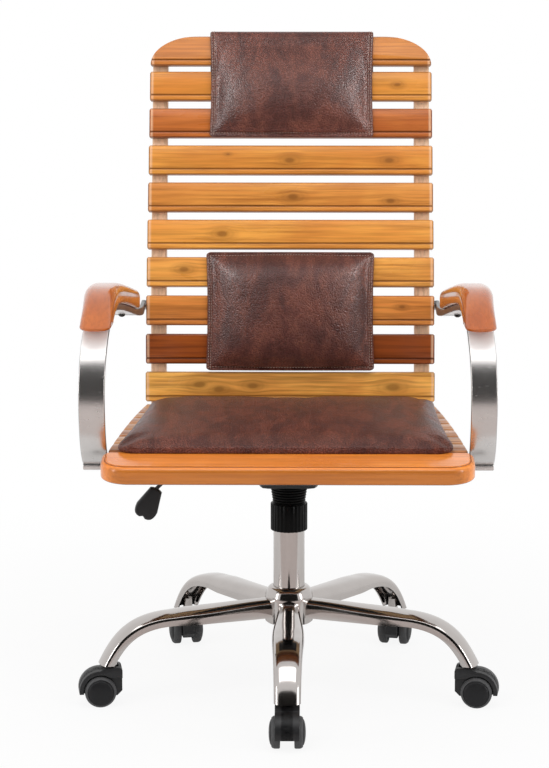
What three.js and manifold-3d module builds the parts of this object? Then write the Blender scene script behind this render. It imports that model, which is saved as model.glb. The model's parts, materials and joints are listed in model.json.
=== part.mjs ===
// Bankers swivel chair: a seat and back of wooden slats on a chromed five-leg base with a gas column,
// steel arm loops with wooden pads, and three leather cushions.
// Millimetres, +Z up. The sitter faces -Y, so the sitter's right hand is at -X.
// The chair is drawn about its column axis and moved at the end to stand centred over its footprint.

import * as THREE from 'three';
import { mergeVertices } from 'three/addons/utils/BufferGeometryUtils.js';
import Module from 'manifold-3d';

const wasm = await Module();
wasm.setup();

// Fits shared by all pieces
const SEAT_GAP = 0.3; // between two pieces that rest on each other
const RUN_GAP = 0.3; // all round a shaft in its bore
const OVERRUN = 6; // how far a cutting shape reaches past what it cuts

// Casters
const WHEEL_R = 25;
const WHEEL_WIDTH = 17.5;
const WHEEL_SIDES = 20;
const WHEEL_CAP_R = 20;
const WHEEL_GROOVE = 0.8;
const WHEEL_SPACE = 21.6; // between the two wheels
const TYRE_WIDTH = 9;
const TYRE_EASE = 1.4;
const AXLE_R = 4;
const WEB_WIDTH = 20;
const HOOD_R = 33.5;
const HOOD_RISE = 0.5; // hood's centre above the axle
const HOOD_WIDTH = 38;
const HOOD_CLEAR = 1.5; // between tread and hood
const HOOD_LIP_Z = 21.3;
const BLOCK_RISE = 4.7; // of the stem block above the hood
const BLOCK_AHEAD = 11; // from the stem to where the block runs into the hood
const BLOCK_BACK = 16.5; // from the stem to the block's face
const BLOCK_CORNER_R = 5.5;
const BLOCK_WIDE_Z = 47; // foot of the block's wide part
const BLOCK_CHAMFER_Z = 24;
const BLOCK_FOOT_Z = 16;
const CASTER_TRAIL = 18.5;
const STEM_R = 5.2;
const STEM_DEPTH = 24; // in the stem block
const STEM_REACH = 16; // in the leg's socket
const STEM_FLANGE_R = 9;
const STEM_FLANGE = 2.7;

// Base
const LEG_COUNT = 5;
const LEG_WALL = 2.5;
const LEG_RISE = 71; // of the leg's middle line from tip to hub
const LEG_DIP = 3; // of the straight run, from hub to bend
const LEG_BEND_R = 196; // radius at which the bend starts
const TIP_R = 305;
const TIP_SLOPE = THREE.MathUtils.degToRad(62);
const SOCKET_AXIS_R = 295.5;
const SOCKET_R = 8;
const SOCKET_HEIGHT = 20;
const HUB_R = 38.5;
const HUB_BELOW = 26; // hub's foot below the legs' middle line
const HUB_SHOULDER = 12; // shoulder's start above that line
const HUB_ABOVE = 33;
const HUB_MOUTH_R = 28;
const HUB_SIDES = 24;
const LEG_WIDTHS = { hub: 36, middle: 50, bend: 49, tip: 41 };
const LEG_HEIGHTS = { hub: 29, middle: 23, bend: 19, tip: 17 };

// Gas column
const TUBE_R = 25;
const TUBE_WALL = 2.5;
const TUBE_LENGTH = 184;
const TUBE_FLOOR = 3;
const TUBE_IN_HUB = 4; // tube's foot above the hub's foot
const TUBE_SIDES = 24;
const BUSH_LENGTH = 60;
const CYLINDER_R = 14;
const CYLINDER_LIFT = 9; // cylinder's foot above the tube's floor
const CYLINDER_HEAD = 15; // solid length at the top
const ROD_R = 5;
const ROD_FLANGE_R = 12;
const ROD_FLANGE = 3.5;
const ROD_END_GAP = 12;
const COLLAR_R = 29.5;
const COLLAR_SKIRT = 36.3;
const COLLAR_CAP = 6.7;
const COLLAR_FLUTES = 28;
const FLUTE_DEPTH = 1.1;
const BELLOWS_LENGTH = 39.4;
const BELLOWS_FOOT_R = 25.8;
const BELLOWS_TOP_R = 31.5;
const BELLOWS_BORE_R = 21;
const BELLOWS_FOLDS = 9;
const FOLD_DEPTH = 2.6;

// Lift plate and lever
const PAN_DEPTH = 27.7;
const PAN_WIDTH = 98;
const PAN_FLOOR_WIDTH = 88;
const PAN_DRAFT_HEIGHT = 8;
const PAN_FRONT = 80; // pan's front edge ahead of the column
const PAN_BEHIND = 60;
const PLATE_SHEET = 3;
const PLATE_WIDTH = 190;
const PLATE_MARGIN = 24; // flange beyond the pan, front and rear
const PLATE_CORNER_R = 12;
const CONE_SOCKET_R = 18;
const CONE_SOCKET_HEIGHT = 14;
const CONE_IN_SOCKET = 12;
const LEVER_R = 3.5;
const LEVER_DROP = 10; // lever's axis below the plate's top
const LEVER_HOLE_GAP = 0.6;
const LEVER_TIP_OUT = 212; // from the column to the lever's lower end
const LEVER_TIP_AHEAD = 80;
const LEVER_FALL = 29; // of the lower end below the lever's axis
const LEVER_END_RUN = 18; // straight length at the lower end
const LEVER_BEND = 36;
const PADDLE_THICK = 12;
const PADDLE_EASE = 3;
const PADDLE_LENGTH = 50;
const PADDLE_SLANT = THREE.MathUtils.degToRad(27);
const PADDLE_NECK = 20;
const PADDLE_WIDTH = 36;
const PADDLE_NOTCH = 3;
const PADDLE_CUP = 9; // how far the lever reaches into the paddle

// Seat
const BOARD_REACH = 258; // front edge ahead of the column
const BOARD_DEPTH = 88;
const BOARD_PAST = 10.7; // board's ends past the first slat's
const BOARD_THICK = 28.5;
const BOARD_CORNER_R = 45;
const BOARD_REAR_CORNER_R = 12;
const BOARD_ROUND = 7; // rounded edge, set down by a small step from the face
const BOARD_FOOT_ROUND = 4;
const BOARD_STEP = 1.6;
const BOARD_STEP_SLOPE = 0.5;
const SEAT_SLATS = 8;
const SEAT_SLAT_WIDTH = 39.5;
const SEAT_SLAT_SPACE = 6.5;
const SEAT_SLAT_THICK = 17;
const SEAT_HALF_FRONT = 274.8; // half length of the first slat
const SEAT_HALF_REAR = 240.3; // half length of the last slat
const SEAT_ARC_R = 3233;
const RAIL_INNER = 206; // from the middle of the chair
const RAIL_WIDTH = 25;
const RAIL_HEIGHT = 37.7; // at the column
const RAIL_FRONT = 30; // rail's end behind the board's front edge
const RAIL_TAPER = 56; // length of the rail's rising front
const RAIL_NOSE = 7; // height of the rail's front end
const MOUNT_BOARD_THICK = 15;
const MOUNT_BOARD_AHEAD = 115;
const MOUNT_BOARD_BEHIND = 125;

// Back
const BACK_SLATS = 10;
const BACK_SLAT_WIDTH = 49.3;
const BACK_SLAT_THICK = 15;
const BACK_PITCH = 62.8;
const BACK_TOP_PITCH = 60; // the top slat sits closer
const BACK_FIRST = 26; // lowest slat's middle above the seat, along the back
const BACK_HALF_LOW = 239.6;
const BACK_HALF_TOP = 234.6;
const BACK_CLEAR = 4; // between the seat's last slat and the back
const BACK_RAIL_DEPTH = 30;
const BACK_RAIL_FOOT = 55; // back rail's foot below the seat, along the back
const BACK_RAIL_SHORT = 8; // back rail's head below the top slat's middle
const BACK_LOWER_RUN = 74;
const BACK_ARC_R = 700;
const BACK_LOWER_LEAN = THREE.MathUtils.degToRad(5.5);
const BACK_UPPER_LEAN = THREE.MathUtils.degToRad(18.8);
const TOP_CORNER_LONG = 80;
const TOP_CORNER_TALL = 49;
const WOOD_EASE = 2.2;
const GROOVE_UP = 9.4; // groove above the slat's lower edge
const GROOVE_WIDE = 2.4;
const GROOVE_DEEP = 1.8;

// Arms
const BAND_WIDTH = 40;
const BAND_THICK = 10;
const BAND_EASE = 1.5;
const LOOP_R = 119; // of the band's middle line
const LOOP_LAP = 4.74; // by which the band at seat height passes the board's rounded rear corner
const BAND_CLEAR = 4.2; // between the first slat's end and the band
const LOOP_LEAN = 8.5; // of the loop's top toward the middle of the chair
const BAND_FOOT_UP = 16; // band's middle above the rail's foot
const BAND_FOOT_RUN = 20;
const PAD_END_IN = 20.5; // of the pad's rear end from the loop's top, toward the middle of the chair
const PAD_END_FALL = 38; // below the top of the loop
const TAB_OUT = 13.5; // tab's middle outside the back rail
const TAB_THICK = 7;
const TAB_TALL = 14;
const TAB_CURVE = 75; // length of the turn from the pad's end to the tab
const TAB_RUN = 32.4; // straight length of the tab in front of the back rail
const TAB_FALL = 48; // tab's middle below the top of the loop
const TAB_REACH = 22; // tab past the back rail's front face
const TAB_BOSS_R = 8;
const FLANGE_THICK = 5;
const FLANGE_LENGTH = 70;
const FLANGE_HEIGHT = 30;
const PAD_WIDTH = 52;
const PAD_THICK = 33;
const PAD_TOP_R = 17;
const PAD_FOOT_R = 5;
const PAD_END_EASE = 3;
const PAD_NOSE_DROP = 9.7; // pad's front end below the top of the loop

// Cushions
const SEAT_CUSHION = { front: 531, rear: 472, from: 186, to: 172, edge: 15, crown: 23 };
const LUMBAR_CUSHION = { width: 277, height: 191, middle: 150, edge: 11, crown: 42 };
const HEAD_CUSHION = { width: 276, height: 172, edge: 9, crown: 34, flap: 62, flapThick: 7 };
const DRAW_SHARE = 0.012; // how far a cushion's sides are drawn in between its corners
const ROUND_SHARE = 0.014; // how far a cushion's corners are rounded off

const X = new THREE.Vector3(1, 0, 0);
const Y = new THREE.Vector3(0, 1, 0);
const Z = new THREE.Vector3(0, 0, 1);

// Heights, from the floor up
const axleZ = WHEEL_R;
const hoodZ = axleZ + HOOD_RISE;
const blockTopZ = hoodZ + HOOD_R + BLOCK_RISE;
const legTipZ = blockTopZ + STEM_FLANGE + 2 * SEAT_GAP;
const legHubZ = legTipZ + LEG_RISE;
const hubFootZ = legHubZ - HUB_BELOW;
const tubeFootZ = hubFootZ + TUBE_IN_HUB;
const tubeTopZ = tubeFootZ + TUBE_LENGTH;
const collarTopZ = tubeTopZ + SEAT_GAP + COLLAR_CAP;
const bellowsFootZ = collarTopZ + SEAT_GAP;
const panFootZ = bellowsFootZ + BELLOWS_LENGTH + SEAT_GAP;
const plateTopZ = panFootZ + PAN_DEPTH + PLATE_SHEET;
const railFootZ = plateTopZ + SEAT_GAP;
const seatTopZ = railFootZ + RAIL_HEIGHT + SEAT_GAP + SEAT_SLAT_THICK;

// Places along the seat, from front to rear
const boardRearY = BOARD_DEPTH - BOARD_REACH;
const firstSlatY = boardRearY + SEAT_SLAT_SPACE + SEAT_SLAT_WIDTH / 2;
const seatPitch = SEAT_SLAT_WIDTH + SEAT_SLAT_SPACE;
const lastSlatY = firstSlatY + (SEAT_SLATS - 1) * seatPitch;
const seatRearY = lastSlatY + SEAT_SLAT_WIDTH / 2;
const seatTaper = (SEAT_HALF_FRONT - SEAT_HALF_REAR) / (lastSlatY - firstSlatY);
const railOuter = RAIL_INNER + RAIL_WIDTH;

// Closed meshes and solids

function signedVolume(places, corners) {
  const [a, b, c] = [new THREE.Vector3(), new THREE.Vector3(), new THREE.Vector3()];
  let sum = 0;
  for (let i = 0; i < corners.length; i += 3) {
    a.fromBufferAttribute(places, corners[i]);
    b.fromBufferAttribute(places, corners[i + 1]);
    c.fromBufferAttribute(places, corners[i + 2]);
    sum += a.dot(b.cross(c));
  }
  return sum;
}

// Merges shared corners, drops faces without area and turns all faces outward.
function closed(geometry) {
  geometry.deleteAttribute('normal');
  geometry.deleteAttribute('uv');
  const merged = mergeVertices(geometry);
  const corners = merged.index.array;
  const kept = [];
  for (let i = 0; i < corners.length; i += 3) {
    const [a, b, c] = corners.subarray(i, i + 3);
    if (a !== b && b !== c && c !== a) kept.push(a, b, c);
  }
  if (signedVolume(merged.attributes.position, kept) < 0) kept.reverse();
  merged.setIndex(kept);
  return merged;
}

function asSolid(geometry) {
  const shape = closed(geometry);
  return new wasm.Manifold(new wasm.Mesh({
    numProp: 3,
    vertProperties: new Float32Array(shape.attributes.position.array),
    triVerts: new Uint32Array(shape.index.array),
  }));
}

function asGeometry(solid) {
  const { vertProperties, triVerts } = solid.getMesh();
  const geometry = new THREE.BufferGeometry();
  geometry.setAttribute('position', new THREE.BufferAttribute(vertProperties, 3));
  geometry.setIndex(new THREE.BufferAttribute(triVerts, 1));
  return geometry;
}

function join(first, ...others) {
  return asGeometry(others.reduce((sum, piece) => sum.add(asSolid(piece)), asSolid(first)));
}

function cut(first, ...tools) {
  return asGeometry(tools.reduce((rest, tool) => rest.subtract(asSolid(tool)), asSolid(first)));
}

function common(first, second) {
  return asGeometry(asSolid(first).intersect(asSolid(second)));
}

// The mirror image across the middle plane of the chair.
function mirrored(geometry) {
  return closed(geometry.clone().scale(-1, 1, 1));
}

// Shapes used by many pieces

// A solid through outlines that are each drawn in (side, up) about a centre.
function loft(sections) {
  const count = sections[0].outline.length;
  const corners = sections.flatMap(({ centre, side, up, outline }) => outline.map((point) => (
    centre.clone().addScaledVector(side, point.x).addScaledVector(up, point.y))));
  const faces = [];
  for (let row = 1; row < sections.length; row++) {
    for (let i = 0; i < count; i++) {
      const a = (row - 1) * count + i;
      const b = (row - 1) * count + ((i + 1) % count);
      faces.push(a, b, b + count, a, b + count, a + count);
    }
  }
  const last = corners.length - count;
  for (const [a, b, c] of THREE.ShapeUtils.triangulateShape(sections[0].outline, [])) {
    faces.push(c, b, a);
  }
  for (const [a, b, c] of THREE.ShapeUtils.triangulateShape(sections.at(-1).outline, [])) {
    faces.push(last + a, last + b, last + c);
  }
  const geometry = new THREE.BufferGeometry().setFromPoints(corners);
  geometry.setIndex(faces);
  return closed(geometry);
}

// Turns a profile of (radius, height) pairs about the vertical.
function turned(profile, sides, start = 0) {
  const points = profile.map(([radius, height]) => new THREE.Vector2(radius, height));
  return closed(new THREE.LatheGeometry(points, sides, start).rotateX(Math.PI / 2));
}

// A turned piece with a bore: its profile closes on itself.
function turnedRing(profile, sides) {
  return turned([...profile, profile[0]], sides);
}

function upright(radius, footZ, topZ, sides) {
  return turned([[0, footZ], [radius, footZ], [radius, topZ], [0, topZ]], sides);
}

function block(lowX, highX, lowY, highY, lowZ, highZ) {
  const box = new THREE.BoxGeometry(highX - lowX, highY - lowY, highZ - lowZ);
  return closed(box.translate((lowX + highX) / 2, (lowY + highY) / 2, (lowZ + highZ) / 2));
}

// Cuts an outline of (y, z) points out of a board that stands across the chair.
function sideBoard(points, lowX, highX, ease = 0) {
  const shape = new THREE.Shape(points.map(([y, z]) => new THREE.Vector2(y, z)));
  const board = new THREE.ExtrudeGeometry(shape, {
    depth: highX - lowX - 2 * ease,
    bevelEnabled: ease > 0,
    bevelThickness: ease,
    bevelSize: ease,
    bevelOffset: -ease,
    bevelSegments: 1,
  });
  board.applyMatrix4(new THREE.Matrix4().makeBasis(Y, Z, X));
  return closed(board.translate(lowX + ease, 0, 0));
}

// A rectangle about the origin's upright, with its upper and lower corners rounded.
function roundedBox(width, low, high, lowR, highR, steps) {
  const half = width / 2;
  const corners = [
    [half - lowR, low + lowR, lowR, -Math.PI / 2],
    [half - highR, high - highR, highR, 0],
    [highR - half, high - highR, highR, Math.PI / 2],
    [lowR - half, low + lowR, lowR, Math.PI],
  ];
  return corners.flatMap(([x, y, radius, start]) => {
    const turns = radius > 0 ? steps : 0;
    return Array.from({ length: turns + 1 }, (_, i) => {
      const angle = start + (i / Math.max(turns, 1)) * (Math.PI / 2);
      return new THREE.Vector2(x + radius * Math.cos(angle), y + radius * Math.sin(angle));
    });
  });
}

const smooth = (t) => t * t * (3 - 2 * t);
const mix = THREE.MathUtils.lerp;

// Five-leg base

// The leg's middle line, as points of (radius, height) from inside the hub to below the tip.
function legLine() {
  const start = new THREE.Vector2(HUB_R - OVERRUN, legHubZ);
  const bend = new THREE.Vector2(LEG_BEND_R, legHubZ - LEG_DIP);
  const tip = new THREE.Vector2(TIP_R, legTipZ);
  const along = bend.clone().sub(start).normalize();
  const down = new THREE.Vector2(Math.cos(TIP_SLOPE), -Math.sin(TIP_SLOPE));
  const startReachShare = 0.5;
  const endReachShare = 0.36;
  const span = tip.distanceTo(bend);
  const curve = new THREE.CubicBezierCurve(
    bend,
    bend.clone().addScaledVector(along, span * startReachShare),
    tip.clone().addScaledVector(down, -span * endReachShare),
    tip,
  );
  const runShares = [0, 0.35, 0.7];
  const bendSteps = 7;
  return [
    ...runShares.map((share) => start.clone().lerp(bend, share)),
    ...curve.getPoints(bendSteps),
    tip.clone().addScaledVector(down, 2 * OVERRUN),
  ];
}

// The value at a radius, eased from hub to middle, bend and tip.
function alongLeg(sizes, radius) {
  const middleR = (HUB_R + TIP_R) / 2;
  if (radius < middleR) {
    const share = Math.max(0, (radius - HUB_R) / (middleR - HUB_R));
    return mix(sizes.hub, sizes.middle, smooth(share));
  }
  if (radius < LEG_BEND_R) return mix(sizes.middle, sizes.bend, (radius - middleR) / (LEG_BEND_R - middleR));
  return mix(sizes.bend, sizes.tip, Math.min(1, (radius - LEG_BEND_R) / (TIP_R - LEG_BEND_R)));
}

// The pressed channel's section: upright sides under a full arch.
function archOutline(width, foot, top, archHeight) {
  const steps = 6;
  const fullness = 0.75;
  const arch = Array.from({ length: steps + 1 }, (_, i) => {
    const angle = (i / steps) * Math.PI;
    const across = Math.sign(Math.cos(angle)) * Math.abs(Math.cos(angle)) ** fullness;
    return new THREE.Vector2((width / 2) * across, top - archHeight * (1 - Math.sin(angle) ** fullness));
  });
  return [new THREE.Vector2(-width / 2, foot), new THREE.Vector2(width / 2, foot), ...arch];
}

// Outer or inner skin of the pressed channel. The inner one runs out of the open underside.
function legSkin(wall) {
  const line = legLine();
  const archShare = 0.6;
  const sections = line.map((point, i) => {
    const ahead = line[Math.min(i + 1, line.length - 1)].clone();
    const along = ahead.sub(line[Math.max(i - 1, 0)]).normalize();
    const width = alongLeg(LEG_WIDTHS, point.x) - 2 * wall;
    const height = alongLeg(LEG_HEIGHTS, point.x);
    const foot = -height / 2 - (wall > 0 ? OVERRUN : 0);
    return {
      centre: new THREE.Vector3(point.x, 0, point.y),
      side: Y,
      up: new THREE.Vector3(-along.y, 0, along.x),
      outline: archOutline(width, foot, height / 2 - wall, height * archShare),
    };
  });
  return loft(sections);
}

function legGeometry() {
  const outer = legSkin(0);
  const socket = upright(SOCKET_R, legTipZ - OVERRUN, legTipZ + SOCKET_HEIGHT, 16);
  const boss = common(socket.translate(SOCKET_AXIS_R, 0, 0), legSkin(LEG_WALL / 2));
  const stemTopZ = legTipZ + STEM_REACH + RUN_GAP;
  const bore = upright(STEM_R + RUN_GAP, legTipZ - 2 * OVERRUN, stemTopZ, 16);
  const reach = TIP_R + HUB_R;
  const below = block(0, reach, -reach, reach, 0, legTipZ);
  const hubSpace = upright(HUB_R + SEAT_GAP, 0, reach, 2 * HUB_SIDES);
  const channel = cut(outer.clone(), legSkin(LEG_WALL));
  return cut(join(channel, boss), bore.translate(SOCKET_AXIS_R, 0, 0), below, hubSpace);
}

function hubGeometry() {
  const shoulderZ = legHubZ + HUB_SHOULDER;
  const topZ = legHubZ + HUB_ABOVE;
  const boreR = TUBE_R + RUN_GAP;
  const steps = 5;
  const shoulder = Array.from({ length: steps + 1 }, (_, i) => {
    const angle = (i / steps) * (Math.PI / 2);
    return [
      HUB_MOUTH_R + (HUB_R - HUB_MOUTH_R) * Math.cos(angle),
      shoulderZ + (topZ - shoulderZ) * Math.sin(angle),
    ];
  });
  return turnedRing([
    [boreR, hubFootZ],
    [HUB_R - WOOD_EASE, hubFootZ],
    [HUB_R, hubFootZ + WOOD_EASE],
    ...shoulder,
    [boreR, topZ],
  ], HUB_SIDES);
}

// Twin-wheel caster, drawn about its stem with the wheels trailing toward +X

function wheelSetGeometry() {
  const rim = 1 / Math.cos(Math.PI / WHEEL_SIDES); // so that a flat lies at the wheel's radius
  const inner = WHEEL_SPACE / 2;
  const outer = inner + WHEEL_WIDTH;
  const treadEnd = inner + TYRE_WIDTH;
  const shoulderShare = 0.5;
  const half = [
    [AXLE_R, inner],
    [(WHEEL_R - TYRE_EASE) * rim, inner],
    [WHEEL_R * rim, inner + TYRE_EASE],
    [WHEEL_R * rim, treadEnd],
    [mix(WHEEL_R, WHEEL_CAP_R, shoulderShare) * rim, mix(treadEnd, outer, shoulderShare)],
    [WHEEL_CAP_R * rim, mix(treadEnd, outer, shoulderShare) + WHEEL_GROOVE],
    [WHEEL_CAP_R * shoulderShare, outer - WHEEL_GROOVE],
    [0, outer],
  ];
  const other = half.map(([radius, out]) => [radius, -out]).reverse();
  const wheels = turned([...other, ...half], WHEEL_SIDES, Math.PI / WHEEL_SIDES);
  return wheels.rotateX(-Math.PI / 2).translate(CASTER_TRAIL, 0, axleZ);
}

function arcPoints(centreX, centreY, radius, from, to, steps) {
  return Array.from({ length: steps + 1 }, (_, i) => {
    const angle = mix(from, to, i / steps);
    return new THREE.Vector2(centreX + radius * Math.cos(angle), centreY + radius * Math.sin(angle));
  });
}

// An outline of (x, z) points made into a slab across the caster's middle.
function casterSlab(points, width) {
  const slab = new THREE.ExtrudeGeometry(new THREE.Shape(points), { depth: width, bevelEnabled: false });
  return closed(slab.rotateX(Math.PI / 2).translate(0, width / 2, 0));
}

function casterHousingGeometry() {
  const lip = Math.asin((HOOD_LIP_Z - hoodZ) / HOOD_R);
  const hoodSteps = 9;
  const cornerR = BLOCK_CORNER_R;
  const hood = arcPoints(CASTER_TRAIL, hoodZ, HOOD_R, lip, Math.PI / 2, hoodSteps);
  const corner = arcPoints(cornerR - BLOCK_BACK, blockTopZ - cornerR, cornerR, Math.PI / 2, Math.PI, 3);
  const lowFace = BLOCK_BACK - (BLOCK_CHAMFER_Z - BLOCK_FOOT_Z);
  const over = [...hood, new THREE.Vector2(BLOCK_AHEAD, blockTopZ), ...corner];
  const web = casterSlab([
    ...over,
    new THREE.Vector2(-BLOCK_BACK, BLOCK_CHAMFER_Z),
    new THREE.Vector2(-lowFace, BLOCK_FOOT_Z),
  ], WEB_WIDTH);
  const innerR = WHEEL_R + HOOD_CLEAR;
  const innerLip = Math.asin((HOOD_LIP_Z - axleZ) / innerR);
  const innerEnd = Math.PI - Math.asin((BLOCK_WIDE_Z - axleZ) / innerR);
  const shell = casterSlab([
    ...over,
    new THREE.Vector2(-BLOCK_BACK, BLOCK_WIDE_Z),
    ...arcPoints(CASTER_TRAIL, axleZ, innerR, innerEnd, innerLip, hoodSteps),
  ], HOOD_WIDTH);
  const stemBore = upright(STEM_R + RUN_GAP, blockTopZ - STEM_DEPTH - RUN_GAP, blockTopZ + OVERRUN, 16);
  const axleBore = upright(AXLE_R + RUN_GAP, -HOOD_WIDTH, HOOD_WIDTH, 16);
  axleBore.rotateX(Math.PI / 2).translate(CASTER_TRAIL, 0, axleZ);
  return cut(join(web, shell), stemBore, axleBore);
}

function casterStemGeometry() {
  const flangeFootZ = blockTopZ + SEAT_GAP;
  return turned([
    [0, blockTopZ - STEM_DEPTH],
    [STEM_R, blockTopZ - STEM_DEPTH],
    [STEM_R, flangeFootZ],
    [STEM_FLANGE_R, flangeFootZ],
    [STEM_FLANGE_R, flangeFootZ + STEM_FLANGE],
    [STEM_R, flangeFootZ + STEM_FLANGE],
    [STEM_R, legTipZ + STEM_REACH],
    [0, legTipZ + STEM_REACH],
  ], 16);
}

// Gas column

function columnTubeGeometry() {
  const bushFootZ = tubeTopZ - BUSH_LENGTH;
  const floorZ = tubeFootZ + TUBE_FLOOR;
  const wideR = TUBE_R - TUBE_WALL;
  return turnedRing([
    [ROD_R + RUN_GAP, tubeFootZ],
    [TUBE_R, tubeFootZ],
    [TUBE_R, tubeTopZ],
    [CYLINDER_R + RUN_GAP, tubeTopZ],
    [CYLINDER_R + RUN_GAP, bushFootZ],
    [wideR, bushFootZ],
    [wideR, floorZ],
    [ROD_R + RUN_GAP, floorZ],
  ], TUBE_SIDES);
}

const cylinderFootZ = tubeFootZ + TUBE_FLOOR + CYLINDER_LIFT;
const cylinderTopZ = panFootZ + CONE_IN_SOCKET;

function gasCylinderGeometry() {
  const boreTopZ = cylinderTopZ - CYLINDER_HEAD;
  return turned([
    [ROD_R + RUN_GAP, boreTopZ],
    [ROD_R + RUN_GAP, cylinderFootZ],
    [CYLINDER_R, cylinderFootZ],
    [CYLINDER_R, cylinderTopZ],
    [0, cylinderTopZ],
    [0, boreTopZ],
    [ROD_R + RUN_GAP, boreTopZ],
  ], TUBE_SIDES);
}

function gasRodGeometry() {
  const footZ = tubeFootZ + TUBE_FLOOR + SEAT_GAP;
  const topZ = cylinderTopZ - CYLINDER_HEAD - ROD_END_GAP;
  return turned([
    [0, footZ],
    [ROD_FLANGE_R, footZ],
    [ROD_FLANGE_R, footZ + ROD_FLANGE],
    [ROD_R, footZ + ROD_FLANGE],
    [ROD_R, topZ],
    [0, topZ],
  ], TUBE_SIDES);
}

function collarGeometry() {
  const flutes = Array.from({ length: 2 * COLLAR_FLUTES }, (_, i) => {
    const angle = (i / COLLAR_FLUTES) * Math.PI;
    const radius = COLLAR_R - (i % 2) * FLUTE_DEPTH;
    return new THREE.Vector2(radius * Math.cos(angle), radius * Math.sin(angle));
  });
  const body = new THREE.ExtrudeGeometry(new THREE.Shape(flutes), {
    depth: COLLAR_SKIRT + COLLAR_CAP,
    bevelEnabled: false,
  });
  body.translate(0, 0, collarTopZ - COLLAR_SKIRT - COLLAR_CAP);
  const capFootZ = tubeTopZ + SEAT_GAP;
  const skirtBore = upright(TUBE_R + RUN_GAP, capFootZ - COLLAR_SKIRT - OVERRUN, capFootZ, TUBE_SIDES);
  const capBore = upright(CYLINDER_R + 2 * RUN_GAP, capFootZ - OVERRUN, collarTopZ + OVERRUN, TUBE_SIDES);
  return cut(body, skirtBore, capBore);
}

function bellowsGeometry() {
  const topZ = bellowsFootZ + BELLOWS_LENGTH;
  const sides = 16;
  const folds = Array.from({ length: 2 * BELLOWS_FOLDS + 1 }, (_, i) => {
    const share = i / (2 * BELLOWS_FOLDS);
    const radius = mix(BELLOWS_FOOT_R, BELLOWS_TOP_R, share) - (i % 2) * FOLD_DEPTH;
    return [radius, bellowsFootZ + share * BELLOWS_LENGTH];
  });
  return turnedRing([[BELLOWS_BORE_R, bellowsFootZ], ...folds, [BELLOWS_BORE_R, topZ]], sides);
}

// Lift plate and its lever

const leverZ = plateTopZ - LEVER_DROP;
const panMiddleY = (PAN_BEHIND - PAN_FRONT) / 2;

function panSkin(wall) {
  const length = PAN_BEHIND + PAN_FRONT - 2 * wall;
  const level = (z, width, depth) => ({
    centre: new THREE.Vector3(0, panMiddleY, z),
    side: X,
    up: Y,
    outline: roundedBox(width, -depth / 2, depth / 2, PLATE_CORNER_R - wall, PLATE_CORNER_R - wall, 2),
  });
  const draft = PAN_WIDTH - PAN_FLOOR_WIDTH;
  const topZ = plateTopZ + (wall > 0 ? OVERRUN : 0);
  return loft([
    level(panFootZ + wall, PAN_FLOOR_WIDTH - 2 * wall, length - draft),
    level(panFootZ + PAN_DRAFT_HEIGHT, PAN_WIDTH - 2 * wall, length),
    level(topZ, PAN_WIDTH - 2 * wall, length),
  ]);
}

function liftPlateGeometry() {
  const length = PAN_BEHIND + PAN_FRONT + 2 * PLATE_MARGIN;
  const flange = loft([plateTopZ - PLATE_SHEET, plateTopZ].map((z) => ({
    centre: new THREE.Vector3(0, panMiddleY, z),
    side: X,
    up: Y,
    outline: roundedBox(PLATE_WIDTH, -length / 2, length / 2, PLATE_CORNER_R, PLATE_CORNER_R, 2),
  })));
  const shell = cut(join(flange, panSkin(0)), panSkin(PLATE_SHEET));
  const socket = upright(CONE_SOCKET_R, panFootZ, panFootZ + CONE_SOCKET_HEIGHT, TUBE_SIDES);
  const coneBore = upright(CYLINDER_R + RUN_GAP, panFootZ - OVERRUN, leverZ, TUBE_SIDES);
  const leverHole = upright(LEVER_R + LEVER_HOLE_GAP, 0, PAN_WIDTH, 12);
  leverHole.rotateY(-Math.PI / 2).translate(0, 0, leverZ);
  return cut(join(shell, socket), coneBore, leverHole);
}

// The lever's lower end, and the way that it points there
const leverEnd = new THREE.Vector3(-LEVER_TIP_OUT, -LEVER_TIP_AHEAD, leverZ - LEVER_FALL);
const leverDown = new THREE.Vector3(-Math.sin(PADDLE_SLANT), 0, -Math.cos(PADDLE_SLANT));

// The lever runs from above the column out through the pan's side, and bends down to the paddle.
function leverRodGeometry() {
  const innerEnd = new THREE.Vector3(0, 0, leverZ);
  const leaving = new THREE.Vector3(-PAN_WIDTH / 2 - LEVER_END_RUN, 0, leverZ);
  const knee = leverEnd.clone().addScaledVector(leverDown, -LEVER_END_RUN);
  const path = new THREE.CurvePath();
  path.add(new THREE.LineCurve3(innerEnd, leaving));
  path.add(new THREE.CubicBezierCurve3(
    leaving,
    leaving.clone().addScaledVector(X, -LEVER_BEND),
    knee.clone().addScaledVector(leverDown, -LEVER_BEND / 2).addScaledVector(X, LEVER_BEND / 2),
    knee,
  ));
  path.add(new THREE.LineCurve3(knee, leverEnd));
  const sides = 6;
  const section = new THREE.Shape(arcPoints(0, 0, LEVER_R, 0, 2 * Math.PI, sides).slice(0, sides));
  const steps = 20;
  return closed(new THREE.ExtrudeGeometry(section, { steps, extrudePath: path }));
}

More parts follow.
